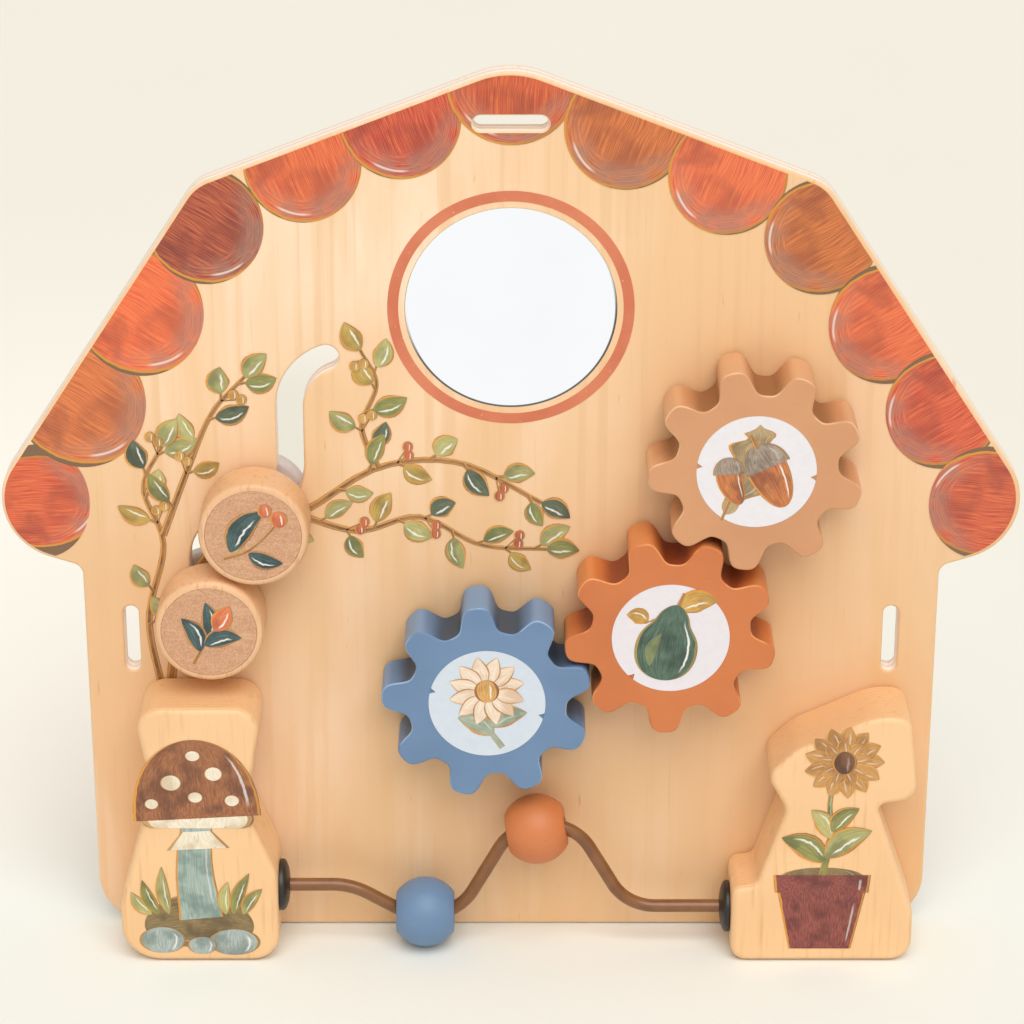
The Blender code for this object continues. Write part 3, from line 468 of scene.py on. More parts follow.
def gouache(name, colour, light, dark, line="DC9432", shine=0.85, lap=0.8, fine=1):
    """Brushed opaque paint with ochre and brown edge lines and a white glint; its UV runs across and along."""
    material, tree, shader, place = new_material(name, Roughness=0.5)
    spot = node(tree, "TexCoord", out="UV")
    across, along, _ = node(tree, "SeparateXYZ", {0: spot}).node.outputs
    tossed = node(tree, "VectorMath", {0: spot, 1: (24 * fine, 2.4 * fine, 1), 2: place}, operation="MULTIPLY_ADD")
    strokes = pattern(tree, tossed, 1, 4, Distortion=0.4)
    reach = node(tree, "Math", {0: across, 1: 2, 2: -1}, operation="MULTIPLY_ADD")
    reach = node(tree, "Math", {0: reach}, operation="ABSOLUTE")
    side = share_of(tree, (across, 0.38, 0.62))
    rim = 1 - lap
    wander = rim * rim * 8
    drawn = {0: pattern(tree, place, 420, 1), 1: wander, 2: reach}
    drawn = node(tree, "Math", drawn, operation="MULTIPLY_ADD")
    inner, outer = [lap + wander / 2 - rim * share for share in (2.6, 2.2)]
    glint = ((drawn, inner - rim * 0.4, inner), (drawn, outer + rim * 0.4, outer), (along, 0.2, 0.32),
             (along, 0.72, 0.58), side, shine)
    body = coats(
        tree, colour, (light, (strokes, 0.38, 0.62)), (dark, (pattern(tree, place, 120, 2), 0.42, 0.68), 0.7),
        (dark, (strokes, 0.6, 0.7)), ("F3F0EA", *glint))
    dress(tree, shader, edge_lines(tree, place, body, reach, side, line, lap, rim * 0.45), strokes, 0.2, 0.0001)
    return material


def join(pieces, name):
    """One object from several."""
    pick(*pieces)
    bpy.ops.object.join()
    pieces[0].name = name
    return pieces[0]


def tint(code, share, towards):
    """Hex code part of the way towards another."""
    pairs = zip(bytes.fromhex(code), bytes.fromhex(towards))
    return bytes(round(old * (1 - share) + new * share) for old, new in pairs).hex()


printed_area = [point + Vector((-0.0003, 0)) for point in inset(barn, 0.0015)]
lobes = []
for index, (across, up, half_width, half_height, colour) in enumerate(LOBES):
    centre = Vector((across, up)) / 1000
    front = PANEL_FRONT - LOBE_THICKNESS - LOBE_STEP * index
    ring = [centre + heading_of(4 * step) * Vector((half_width, half_height)) / 1000 for step in range(90)]
    lobe = plate("roof_lobe", ring, front, PANEL_FRONT)
    carve(lobe, plate("print_area", printed_area, -THROUGH, 0), "INTERSECT")
    nearest = min(barn, key=lambda point: (point - centre).length)
    at = barn.index(nearest)
    along = (barn[(at + 3) % len(barn)] - barn[at - 3]).normalized()
    outwards = Vector((along.y, -along.x))
    layer = lobe.data.uv_layers.active.data
    for loop in lobe.data.loops:
        spot = lobe.data.vertices[loop.vertex_index].co
        offset = (Vector((spot.x, spot.z)) - centre) * 500
        layer[loop.index].uv = (0.5 - offset.dot(along) / half_width, 0.5 + offset.dot(outwards) / half_height)
    paint = roof_paint("roof_paint_%02d" % index, colour, tint(colour, 0.5, "FF9850"), tint(colour, 0.48, "6C3028"))
    lobe.data.materials.clear()
    lobe.data.materials.append(paint)
    lobes.append(lobe)
scallops = join(lobes, "roof_scallops")
carve(scallops, plate("strap_cutter", slot_outline(slots[2][0], slots[2][1] + 0.0007), -THROUGH, 0))
smooth(scallops)
finish_piece(scallops, None, "board", None)


# Mirror: a round of silvered acrylic, 81 mm across, stuck into its recess and almost flush with the face.
# A terracotta ring is printed round it, with a margin of bare wood between.
MIRROR_FRONT = -0.0048
MIRROR_BACK = -0.0028
round_edge = [(0, MIRROR_FRONT), (0.0405, MIRROR_FRONT), (0.0407, -0.0046), (0.0407, MIRROR_BACK), (0, MIRROR_BACK)]
mirror = turned("mirror_round", round_edge, *MIRROR, steps=128)
# Silvered acrylic: a clear, almost white reflection with the least haze.
silvered, tree, shader, place = new_material("mirror_acrylic", Metallic=1, Roughness=0.03)


def from_hub(tree, place, hub):
    """Place seen from a hub in the board's plane, and how far off it is."""
    flat = node(tree, "VectorMath", {0: place, 1: (1, 0, 1), 2: (-hub[0], 0, -hub[1])}, operation="MULTIPLY_ADD")
    return flat, node(tree, "VectorMath", {0: flat}, operation="LENGTH", out="Value")


# A thin grey line is painted round the lower half of the rim: painted shade of the narrow gap between the mirror
# and its recess.
flat, reach = from_hub(tree, place, MIRROR)
lower = node(tree, "VectorMath", {0: flat, 1: (6, 0, -24)}, operation="DOT_PRODUCT", out="Value")
dress(tree, shader, coats(tree, "F4F6F8", ("FAFBFC", pattern(tree, place, 25, 2)),
                          ("6F6C6B", (reach, 0.0398, 0.0401), (lower, -0.25, 0.35))))
smooth(mirror)
finish_piece(mirror, silvered, "board", "mirror_acrylic", "mirror")

RING_FRONT = -0.0051
band = [(0.0432, RING_FRONT), (0.0474, RING_FRONT), (0.0474, PANEL_FRONT), (0.0432, PANEL_FRONT)]
ring = turned("mirror_ring", band, *MIRROR, steps=128)
# Matt terracotta paint with tiny missed specks, as a screen print leaves them.
terracotta_print, tree, shader, place = new_material("terracotta_print", Roughness=0.6)
dress(tree, shader, coats(tree, "D0704B", ("DB7F5A", (pattern(tree, place, 60), 0.3, 0.7)),
                          ("EFC09A", (pattern(tree, place, 900, 1), 0.74, 0.8))))
smooth(ring)
finish_piece(ring, terracotta_print, "board", None)


# Toothed wheels: three nine-toothed wheels of 22 mm beech, sprayed with matt paint, their rims eased by
# hand. A printed disc with two small arrow notches closes the hub of each, over a screw, bush and nut.
GEAR_FRONT = -0.029
GEAR_BACK = -0.007
MEAN_RADIUS = 0.03665
TOOTH_SWING = 0.00515
SQUARENESS = 1.8
TOOTH_POINTS = 28


def gear_ring(turn):
    """Outline of a wheel whose teeth are flattened waves."""
    points = []
    for index in range(9 * TOOTH_POINTS):
        wave = tanh(SQUARENESS * cos(2 * pi * index / TOOTH_POINTS)) / tanh(SQUARENESS)
        points.append(heading_of(40 * index / TOOTH_POINTS + turn) * (MEAN_RADIUS + TOOTH_SWING * wave))
    return points


def painted_wood(name, colour, shade, light, valley_shade=None, hub=None):
    """Matt sprayed paint over beech: soft clouds and open grain. On a wheel, painted shade darkens the valleys, a
    painted highlight lightens the tips, and the rims are paler, partly wear and partly painted highlight.
    """
    material, tree, shader, place = new_material(name, Roughness=0.5, Coat_Weight=0.08, Coat_Roughness=0.4)
    grain = pattern(tree, place, (160, 900, 900))
    tone = coats(tree, colour, (shade, (pattern(tree, place, 22), 0.35, 0.7)), (shade, (grain, 0.6, 0.82)))
    if hub:
        square = squareness(tree, "Y", "Normal")
        wall = share_of(tree, (square, 0.45, 0.2))
        reach = from_hub(tree, place, hub)[1]
        rough = {0: pattern(tree, place, 1400, 2), 1: 0.004, 2: reach}
        rough = node(tree, "Math", rough, operation="MULTIPLY_ADD")
        worn_and_lit_breaks = pattern(tree, place, 75)
        # Painted shade darkens the walls in the valleys between the teeth, and a painted highlight lightens the
        # outer walls of the tips; the eased rims are paler in broken lines, partly wear and partly painted
        # highlight.
        tone = coats(
            tree, tone, (valley_shade, wall, (rough, 0.0405, 0.0335)), (light, wall, (reach, 0.038, 0.0412), 0.45),
            (light, (square, 0.25, 0.45), (square, 0.96, 0.8), (worn_and_lit_breaks, 0.42, 0.6)))
    dress(tree, shader, tone, grain)
    return material


def coated_paper(name, low, high):
    """Matt coated paper: a cool white with the faintest fibre, so that it doesn't look like plastic."""
    material, tree, shader, place = new_material(name, Roughness=0.6)
    fibre = pattern(tree, place, 400)
    dress(tree, shader, coats(tree, low, (high, fibre)), fibre, 0.05, 0.0001)
    return material


DISC_BACK = -0.0284
PAPERS = {"upper": ("E2DFE3", "ECE9ED"), "middle": ("E0DADF", "EAE4E9"), "lower": ("CBD5E2", "D6DFE9")}
# Place, turn that puts the teeth in mesh, slot, paint (colour, darker tone, paler tone for the worn and highlighted
# rims, and painted valley shade) and the medallion's turn.
GEARS = {
    "upper": (0.0942, 0.2133, 144.3, "tan_paint", ("D39768", "CB8E61", "E8BA8E", "98643A"), -6),
    "middle": (0.062554, 0.142555, 187.5, "terracotta_paint", ("D07538", "C66B31", "E99D60", "8A3B18"), 48),
    "lower": (-0.009453, 0.1139, 55.9, "blue_paint", ("6888AD", "617FA3", "93AFCF", "3A4A5C"), -14)}
for name, (across, up, turn, slot_name, colours, notch_turn) in GEARS.items():
    hub = Vector((across, up))
    outline = [hub + point for point in gear_ring(turn)]
    wheel = plate(f"{name}_gear_wheel", outline, GEAR_FRONT, GEAR_BACK)
    recess = [(0, 2 * GEAR_FRONT), (0.02314, 2 * GEAR_FRONT), (0.02314, DISC_BACK), (0, DISC_BACK)]
    ease_rims(wheel, 0.0009)
    carve(wheel, turned("hub_cutter", recess, across, up))
    smooth_plate(wheel)
    finish_piece(wheel, painted_wood(f"{name}_wheel_paint", *colours, hub), f"{name}_wheel", slot_name,
                 f"{name}_gear")

    face = [(0, GEAR_FRONT), (0.02305, GEAR_FRONT), (0.0231, -0.02895), (0.0231, DISC_BACK), (0, DISC_BACK)]
    disc = turned(f"{name}_gear_medallion", face, across, up)
    for side in (0, 180):
        corners = [hub + heading_of(notch_turn + side + open_by) * reach
                   for open_by, reach in ((0, 0.0208), (4.87, 0.0245), (-4.87, 0.0245))]
        carve(disc, plate("notch_cutter", corners, 2 * GEAR_FRONT, 0))
    smooth(disc)
    finish_piece(disc, coated_paper(f"{name}_disc_paper", *PAPERS[name]), f"{name}_wheel", "printed_disc",
                 f"{name}_gear_disc")


# Sliders: beech discs, 43 mm across and 20 mm thick with soft rims, that spin in front of the curved slot.
# A paler printed face is let into each. A dowel and a screw join it to a second disc behind the panel.
def beech(name, colour, dark, drawn_along, end_axis):
    """Lacquered beech: fine rays along the grain, and bent growth lines where it is cut across."""
    material, tree, shader, place = new_material(name, Roughness=0.48, Coat_Weight=0.12, Coat_Roughness=0.35)
    rays = pattern(tree, place, drawn_along)
    growth = {"Vector": place, "Scale": 190, "Distortion": 5, "Detail": 2, "Detail Scale": 0.06}
    growth = node(tree, "TexWave", growth, "Fac", wave_type="BANDS", bands_direction="Y")
    tone = coats(
        tree, colour, (tint(colour, 0.25, dark), (pattern(tree, place, 30, 2), 0.35, 0.7)),
        (dark, (rays, 0.52, 0.78)), (dark, growth, (squareness(tree, end_axis), 0.55, 0.85), 0.8))
    dress(tree, shader, tone, rays)
    return material


slider_wood = beech("slider_beech", "E9BA8D", "D5A070", (700, 500, 60), "X")
# Printed wood face: the same beech under a thin pinkish wash.
face_wood, tree, shader, place = new_material("slider_face_wash", Roughness=0.62)
grains = pattern(tree, place, 1500, Roughness=0.7)
fibres = pattern(tree, place, (90, 500, 620))
wash = coats(tree, "BE8A66", ("D8A883", (grains, 0.34, 0.66)), ("DFB28D", (fibres, 0.46, 0.9)))
dress(tree, shader, wash, grains, 0.15, 0.0001)
# Rear discs: a thin lilac-white wash, which shows through the slot.
rear_wash = beech("rear_disc_wash", "E2D7D3", "CFC2BE", (500, 500, 60), "X")
SLIDERS = {"upper": (-0.099857, 0.185263), "lower": (-0.1184, 0.144)}
FACE_FRONT = -0.0265
FACE_BACK = -0.025
EDGE_RADIUS = 0.0022
quarter = [heading_of(90 * step / 8) * EDGE_RADIUS for step in range(9)]
rim = [(0.0193 + point.y, point.x) for point in quarter]
rear_rim = [(0.0178 + point.y, point.x) for point in quarter]
for name, (across, up) in SLIDERS.items():
    profile = [(0, FACE_BACK), (0.0189, FACE_BACK), (0.0189, FACE_FRONT)]
    profile += [(radius, -0.0243 - along) for radius, along in rim]
    profile += [(radius, -0.0087 + along) for radius, along in reversed(rim)] + [(0, -0.0065)]
    disc = turned(f"{name}_slider_round", profile, across, up)
    smooth(disc)
    finish_piece(disc, slider_wood, f"{name}_slider", "beech", f"{name}_slider_disc")
    face = [(0, FACE_FRONT), (0.0187, FACE_FRONT), (0.0188, -0.0264), (0.0188, FACE_BACK), (0, FACE_BACK)]
    face = turned(f"{name}_slider_plate", face, across, up)
    smooth(face)
    finish_piece(face, face_wood, f"{name}_slider", "printed_disc", f"{name}_slider_face")
    profile = [(0, 0.0058)] + [(radius, 0.008 - along) for radius, along in rear_rim]
    profile += [(radius, 0.0116 + along) for radius, along in reversed(rear_rim)] + [(0, 0.0138)]
    rear = turned(f"{name}_slider_rear", profile, across, up)
    smooth(rear)
    finish_piece(rear, rear_wash, f"{name}_carriage", None, f"{name}_slider_back")


# Foot blocks: two 30 mm blocks of solid beech, sawn to a soft outline and sanded round, screwed on from
# behind the panel. The board stands on them and on its own lower edge.
BLOCK_BACK = -0.0053
BLOCK_FRONT = -0.0353
LEFT = [
    (-32, 0, 16), (32, 0, 11), (32, 40, 22), (20.5, 68, 14), (28.2, 114.3, 10),
    (-23.5, 114.3, 10), (-16.8, 78, 24), (-31.5, 26, 20)]
RIGHT = [
    (-37, 0, 6.5), (36.3, 0, 9), (36.3, 22, 16), (19.5, 71.3, 3.5), (35.8, 74, 7),
    (31.8, 109.8, 6), (19, 111.3, 25), (-13.5, 96, 22), (-24.5, 84.5, 7), (-16.2, 69, 8),
    (-27.4, 35, 4), (-37, 33.5, 4)]
block_wood = beech("block_beech", "F5C894", "E6B27D", (420, 420, 26), "Z")
for name, side, outline in (("left", -1, LEFT), ("right", 1, RIGHT)):
    ring = rounded([(x / 1000 + side * BLOCK_X, z / 1000, radius / 1000) for x, z, radius in outline])
    block = plate(f"{name}_foot_block", ring, BLOCK_FRONT, BLOCK_BACK)
    ease_rims(block, 0.0026, 4)
    finish_piece(block, block_wood, "board", "beech", f"{name}_block")


# Painted sprig: a loose bough of rounded leaves and berries, printed on the veneer round the sliders.
# Stems first, then leaves over them, each a brushed shape with its own edge line and glint.
LAYER = 0.035


def through(anchors, count):
    """Smooth curve through points given in mm."""
    points = [Vector(anchor) for anchor in anchors]
    points = [points[0] * 2 - points[1]] + points + [points[-1] * 2 - points[-2]]
    spans = len(points) - 3
    curve = []
    for step in range(count + 1):
        share = step / count * spans
        first = min(int(share), spans - 1)
        t = share - first
        a, b, c, d = points[first:first + 4]
        curve.append((b * 2 + (c - a) * t + (a * 2 - b * 5 + c * 4 - d) * t ** 2
                      + (b * 3 - a - c * 3 + d) * t ** 3) / 2)
    return curve


def leaf_width(t):
    return sin(pi * t ** 0.85) ** 0.85


def round_width(t):
    return sqrt(max(0, 1 - (2 * t - 1) ** 2))


def dome_width(t):
    return sqrt(max(0, 1 - t ** 2.2))


def stem_width(t):
    return 1 - 0.5 * t


def pear_width(t):
    return round_width(t) * (1.18 - 0.66 * t) * (1 - 0.16 * exp(-((t - 0.72) / 0.13) ** 2))


def lobed_width(t):
    return leaf_width(t) * (0.8 + 0.26 * cos(t * 23))


def brushed(anchors, rows, wide, shape, layer, paint):
    """Painted shape in mm: a grid laid along a smooth route, its half width following a shape."""
    route = through(anchors, rows)
    bpy.ops.mesh.primitive_grid_add(x_subdivisions=6, y_subdivisions=rows, size=1)
    piece = bpy.context.object
    for index, vertex in enumerate(piece.data.vertices):
        row, column = divmod(index, 7)
        share = (1 - cos(pi * row / rows)) / 2
        at = min(int(share * rows), rows - 1)
        heading = (route[min(at + 2, rows)] - route[max(at - 1, 0)]).normalized()
        spot = route[at].lerp(route[at + 1], share * rows - at)
        spot += Vector((heading.y, -heading.x)) * wide * shape(share) * (column / 3 - 1)
        vertex.co = (spot.x, -LAYER * layer, spot.y)
    open_all()
    bpy.ops.mesh.extrude_region_move(TRANSFORM_OT_translate={"value": (0, LAYER * layer, 0)})
    close_up()
    piece.data.materials.append(paint)
    return piece


def spot_of(across, up, wide, high, layer, paint):
    """Round painted spot in mm."""
    return brushed([(across, up - high), (across, up + high)], 14, wide, round_width, layer, paint)


def leaf(start, heading, length, wide, curl, layer, paint):
    """Painted leaf in mm that bows to one side."""
    start = Vector(start)
    ahead = heading_of(heading)
    aside = Vector((-ahead.y, ahead.x))
    anchors = [start, start + ahead * length / 2 + aside * curl, start + ahead * length]
    return brushed(anchors, 12, wide, leaf_width, layer, paint)


def print_on(strokes, name, body, across, up, surface, turn=0):
    """Joins painted shapes into one print and lays it on a surface."""
    made = join(strokes, name)
    made.data.transform(Matrix.Translation((across, surface, up)) @ Matrix.Rotation(radians(-turn), 4, "Y")
                        @ Matrix.Scale(0.001, 4))
    finish_piece(made, None, body, None)


GREENS = [
    gouache("sage_leaf", "AFAA60", "CCC285", "8A8A56"), gouache("olive_leaf", "7F8146", "A19E5A", "5B6039"),
    gouache("teal_leaf", "4E5A46", "6E7759", "374035"), gouache("ochre_leaf", "B3933F", "D0B05C", "8A7036"),
    gouache("moss_leaf", "9B9A5A", "B9B377", "737348")]
bark = gouache("sprig_bark", "8A6140", "B58655", "5F4330", line="D6963F", shine=0, lap=0.36)
rust_berry = gouache("rust_berry", "B9582F", "D67B47", "8C3E26", shine=0.9)
gold_berry = gouache("gold_berry", "CE9A45", "E2B96A", "A67734", shine=0.9)

BOUGHS = [
    ([(-140, 108), (-144, 140), (-137, 172), (-144, 196), (-136, 214)], 1.6, 8, 1),
    ([(-137, 108), (-130, 148), (-112, 176), (-82, 186), (-52, 205), (-20, 207), (12, 190)], 2, 15, -1),
    ([(-137, 176), (-126, 205), (-116, 228), (-103, 243)], 1.5, 6, 1),
    ([(-84, 185), (-60, 178), (-36, 184), (-12, 172), (14, 170)], 1.5, 9, 1),
    ([(-52, 205), (-58, 222), (-52, 240), (-58, 254)], 1.3, 6, -1)]
sprig = []
for number, (anchors, thick, leaves, first_side) in enumerate(BOUGHS):
    sprig.append(brushed(anchors, 40, thick, stem_width, 2 + number * 0.4, bark))
    line = through(anchors, 10 * leaves)
    for index in range(leaves):
        at = int((index + 0.9) / (leaves + 0.4) * len(line))
        side = first_side if index % 2 == 0 else -first_side
        ahead = line[min(at + 2, len(line) - 1)] - line[at - 2]
        way = degrees(atan2(ahead.y, ahead.x)) + side * (52 - 18 * index / leaves)
        reach = heading_of(way)
        length = 12.5 + 1.8 * sin(index * 2.1 + number)
        middle = line[at] + reach * (3 + length / 2)
        blocked = min((point * 1000 - middle).length for point in track) < 5.2 + length / 2
        blocked = blocked or (abs(middle.x + 151.2) < 10 and abs(middle.y - 130.8) < 24)
        if blocked or middle.y < 118:
            continue
        sprig.append(brushed([line[at], line[at] + reach * 3.6], 4, thick * 0.5, stem_width, 4, bark))
        paint = GREENS[(index * 2 + number * 3) % 5]
        sprig.append(leaf(line[at] + reach * 3, way, length, 4.2 + 0.5 * cos(index + number), side * 1.1,
                          5 + 0.7 * (index % 5) + 0.12 * number, paint))
        if index % 3 == 1 and line[at].y > 150:
            for cluster in range(2):
                tip = line[at] + heading_of(way - side * (62 + 24 * cluster)) * (5.5 + 2.5 * cluster)
                sprig.append(brushed([line[at], tip], 4, 0.35, stem_width, 4, bark))
                sprig.append(spot_of(*tip, 2.1, 2.1, 12 + cluster, rust_berry if number % 2 else gold_berry))
    tip = line[-1]
    way = degrees(atan2(*(line[-1] - line[-6]).yx))
    sprig.append(leaf(tip, way, 13, 4.4, 0.8, 9 + number * 0.5, GREENS[(number * 2) % 5]))
print_on(sprig, "painted_sprig", "board", 0, 0, PANEL_FRONT)


# Prints on the wheels: an acorn, a pear and a daisy, one on each medallion, in the same brushed manner.
# They lie on the paper, turn with the wheel and keep clear of the notches.
russet = gouache("russet_wash", "B4612C", "D6894B", "7E3F28", lap=0.89, fine=1.6)
cup = gouache("acorn_cup", "8E7B6B", "B3A290", "665448", line="B98A4C", shine=0.3, lap=0.89, fine=1.4)
pale_oak = gouache("oak_leaf_wash", "A58A5E", "C6B086", "7C6546", shine=0.3, lap=0.88, fine=1.8)
deep_green = gouache("pear_skin", "3F5A4B", "617A65", "293D34", line="A98F45", shine=0.9, lap=0.91, fine=2.2)
blush = gouache("pear_blush", "6F7A4E", "8E9560", "54603F", line="5D7661", shine=0)
mustard = gouache("mustard_wash", "C8963B", "DDB25E", "A0752F")
petal = gouache("petal_wash", "E9CFB4", "F4E3CF", "D3AE8C", line="D5A06A", shine=0.3)
centre_paint = gouache("daisy_centre", "CE9348", "E3B56C", "A46F35", line="A0642F")
sage = gouache("sage_wash", "93A08A", "B2BCA6", "74826F", shine=0.3)

acorn = [
    brushed([(-15, -15), (-5, -1), (3, 12), (5, 19)], 40, 10.4, lobed_width, 1, pale_oak),
    brushed([(-17, -17), (3, 14)], 16, 0.6, stem_width, 2, bark),
    brushed([(8, -16.5), (5.5, -5), (3, 5)], 24, 8, lambda t: round_width(0.66 * t), 3, russet),
    brushed([(4.4, 0.6), (1.8, 11)], 16, 9.4, dome_width, 5, cup),
    brushed([(2.2, 9.5), (0.5, 15.5)], 6, 1, stem_width, 6.5, bark),
    brushed([(-8.5, -12), (-10.5, -3), (-10.2, 4)], 20, 5.2, lambda t: round_width(0.66 * t), 3.4, russet),
    brushed([(-10.4, 1.2), (-9.4, 8.2)], 14, 6.2, dome_width, 5.6, cup)]
print_on(acorn, "acorn_print", "upper_wheel", *GEARS["upper"][:2], GEAR_FRONT, 12)
pear = [
    leaf((1, 12.5), 22, 16, 5, 2.2, 1, mustard),
    brushed([(0.4, 12), (2.2, 20)], 8, 1.1, stem_width, 2, bark),
    brushed([(-1.5, -18.5), (-0.8, 0), (0.4, 14.5)], 48, 13.6, pear_width, 3, deep_green),
    leaf((-6.5, -13), 80, 15, 2.6, 1.6, 5, blush),
    brushed([(-2, 10.5), (-11, 5)], 6, 0.5, stem_width, 2, bark), leaf((-10, 5.5), 166, 9, 3.6, -1.4, 1, mustard)]
print_on(pear, "pear_print", "middle_wheel", *GEARS["middle"][:2], GEAR_FRONT, -8)
daisy = [
    brushed([(4, -20), (-1, -9), (0.5, 4)], 16, 1.3, stem_width, 1, sage),
    leaf((1, -14), 146, 16, 4.8, -2, 2, sage), leaf((0, -10), 16, 16, 4.6, 2, 2.6, sage)]
for index in range(12):
    way = 360 * index / 12 + 8
    daisy.append(leaf(Vector((0.5, 5.5)) + heading_of(way) * 3, way, 12.2, 3.5, 0.4, 3.2 + 0.21 * index, petal))
daisy.append(spot_of(0.5, 5.5, 4.9, 4.9, 7, centre_paint))
print_on(daisy, "daisy_print", "lower_wheel", *GEARS["lower"][:2], GEAR_FRONT, 6)


# Prints on the sliders: a dark teal seed pod with an orange berry on one, and three teal leaves round an
# orange bud on the other.
teal = gouache("teal_wash", "2F4A4D", "56706C", "1E3236", line="C98A3C")
orange = gouache("orange_wash", "D4663A", "E88C56", "A8482C")
pod = [
    brushed([(-13, -8), (-3, -6), (7, 1), (12, 7)], 20, 0.7, stem_width, 1, bark),
    leaf((-10, -5.5), 44, 22, 5.2, 2.6, 3, teal), leaf((-3, -7), -26, 14, 3.8, -1.4, 3.6, teal),
    spot_of(11, 5.5, 3.4, 3.4, 4.4, orange), spot_of(6.2, 9.8, 2.8, 2.8, 5, orange),
    leaf((-8, -6), 78, 15, 3.2, -1.2, 2, GREENS[0])]
print_on(pod, "pod_print", "upper_slider", *SLIDERS["upper"], FACE_FRONT, 8)
bud = [
    brushed([(-3, -15), (-0.5, -5), (2, 4)], 12, 0.8, stem_width, 1, bark),
    leaf((-1.5, -9), 130, 16, 4.2, -2, 3, teal), leaf((-0.5, -6), 26, 15, 4.2, 2, 3.6, teal),
    leaf((0.5, -2), 108, 15, 3.6, -1.2, 2, teal), brushed([(2.2, 1), (5.6, 13)], 16, 4.2, leaf_width, 4.4, orange)]
print_on(bud, "bud_print", "lower_slider", *SLIDERS["lower"], FACE_FRONT, -14)


# Prints on the foot blocks: a toadstool on a mossy mound on the left, a bloom in a pot on the right, each
# filling its block as a large picture does.
cap = gouache("toadstool_cap", "8E5331", "B07448", "643A28", shine=0.6, lap=0.945, fine=4)
cream = gouache("cream_wash", "EADBC0", "F5EBD8", "CDB48F", line="C79B62", shine=0.2, lap=0.88)
skirt = gouache("sage_teal_wash", "8FA39A", "B4C3B8", "6C827B", shine=0.4, lap=0.9, fine=2)
moss = gouache("olive_brown_wash", "7B6540", "9C875C", "5A482F", line="B98A4C", shine=0.2, lap=0.93, fine=3)
stone = gouache("stone_wash", "98A49F", "BAC4BE", "75837E", line="B98A4C", shine=0.7, lap=0.88, fine=1.6)
toadstool = [
    brushed([(-22, 16), (0, 19), (22, 15)], 24, 12.5, round_width, 1, moss),
    brushed([(1, 20), (-1, 44), (1, 68)], 24, 9, lambda t: 1 - 0.34 * t, 3, skirt),
    brushed([(0.8, 52), (0.4, 60)], 10, 12.5, lambda t: 1 - 0.52 * t, 5, cream),
    brushed([(1, 61.5), (1, 70)], 12, 22.5, lambda t: 0.78 + 0.22 * round_width(t), 6, cream),
    brushed([(1, 66), (0, 84), (-1, 101)], 26, 25.5, dome_width, 7, cap)]
for spot in (
        (-9, 82, 4.2, 3.4, 9, cream), (8, 86, 3.6, 3, 9, cream), (0, 94, 3, 2.2, 9, cream),
        (15, 74, 3, 2.4, 9, cream), (-17, 72.5, 2.8, 2.2, 9, cream), (0.5, 75.5, 3, 2.3, 9, cream),
        (-15, 10, 9.5, 6, 4, stone), (14, 9, 10.5, 6, 4.6, stone), (1, 7.5, 6, 4, 5.2, stone)):
    toadstool.append(spot_of(*spot))
for root, way, length, paint in (
        (-16, 112, 17, 1), (-12, 96, 22, 4), (-19, 128, 13, 0), (14, 70, 20, 1), (18, 56, 14, 4), (11, 86, 15, 0)):
    toadstool.append(leaf((root, 22), way, length, 2.8, 1.2, 7 + root * 0.08, GREENS[paint]))
print_on(toadstool, "toadstool_print", "board", -BLOCK_X, 0, BLOCK_FRONT)

burgundy = gouache("burgundy_wash", "7C3A36", "A05A4E", "562625", shine=0.45, lap=0.94, fine=3.6)
bloom_paint = gouache("ochre_bloom", "BE8442", "D8A461", "94622F", line="E0A24C", shine=0.4)
heart = gouache("bloom_heart", "6E4429", "8E5F3A", "4A2D1D", line="C98A3C", shine=0.2)
potted = [
    brushed([(-1, 6), (-1, 33)], 14, 19, lambda t: 0.66 + 0.28 * t, 3, burgundy),
    brushed([(-1, 32), (-1, 40)], 8, 19.6, lambda t: 0.96 + 0.04 * t, 5, burgundy),
    brushed([(-1, 38.5), (-1, 43.5)], 10, 17, dome_width, 2, moss),
    brushed([(-1, 40), (2, 58), (1, 74), (5, 90)], 24, 1.5, stem_width, 4, GREENS[1]),
    leaf((0, 46), 148, 21, 5.6, -2.4, 6, GREENS[1]), leaf((0, 48), 34, 22, 5.6, 2.4, 6.6, GREENS[4]),
    leaf((1.6, 57), 122, 15, 4.2, -1.8, 7.2, GREENS[0]), leaf((2, 60), 44, 15, 4, 1.6, 7.8, GREENS[1])]
for ring_number, (count, root, length, wide) in enumerate(((13, 5.5, 10.5, 3.6), (9, 3.4, 7.4, 2.8))):
    for index in range(count):
        way = 360 * index / count + 11 * ring_number
        at = Vector((6, 91)) + heading_of(way) * root
        potted.append(leaf(at, way, length, wide, 0.5, 6 + 3 * ring_number + 0.21 * index, bloom_paint))
potted.append(spot_of(6, 91, 5, 5, 12.5, heart))
print_on(potted, "potted_bloom_print", "board", BLOCK_X, 0, BLOCK_FRONT)


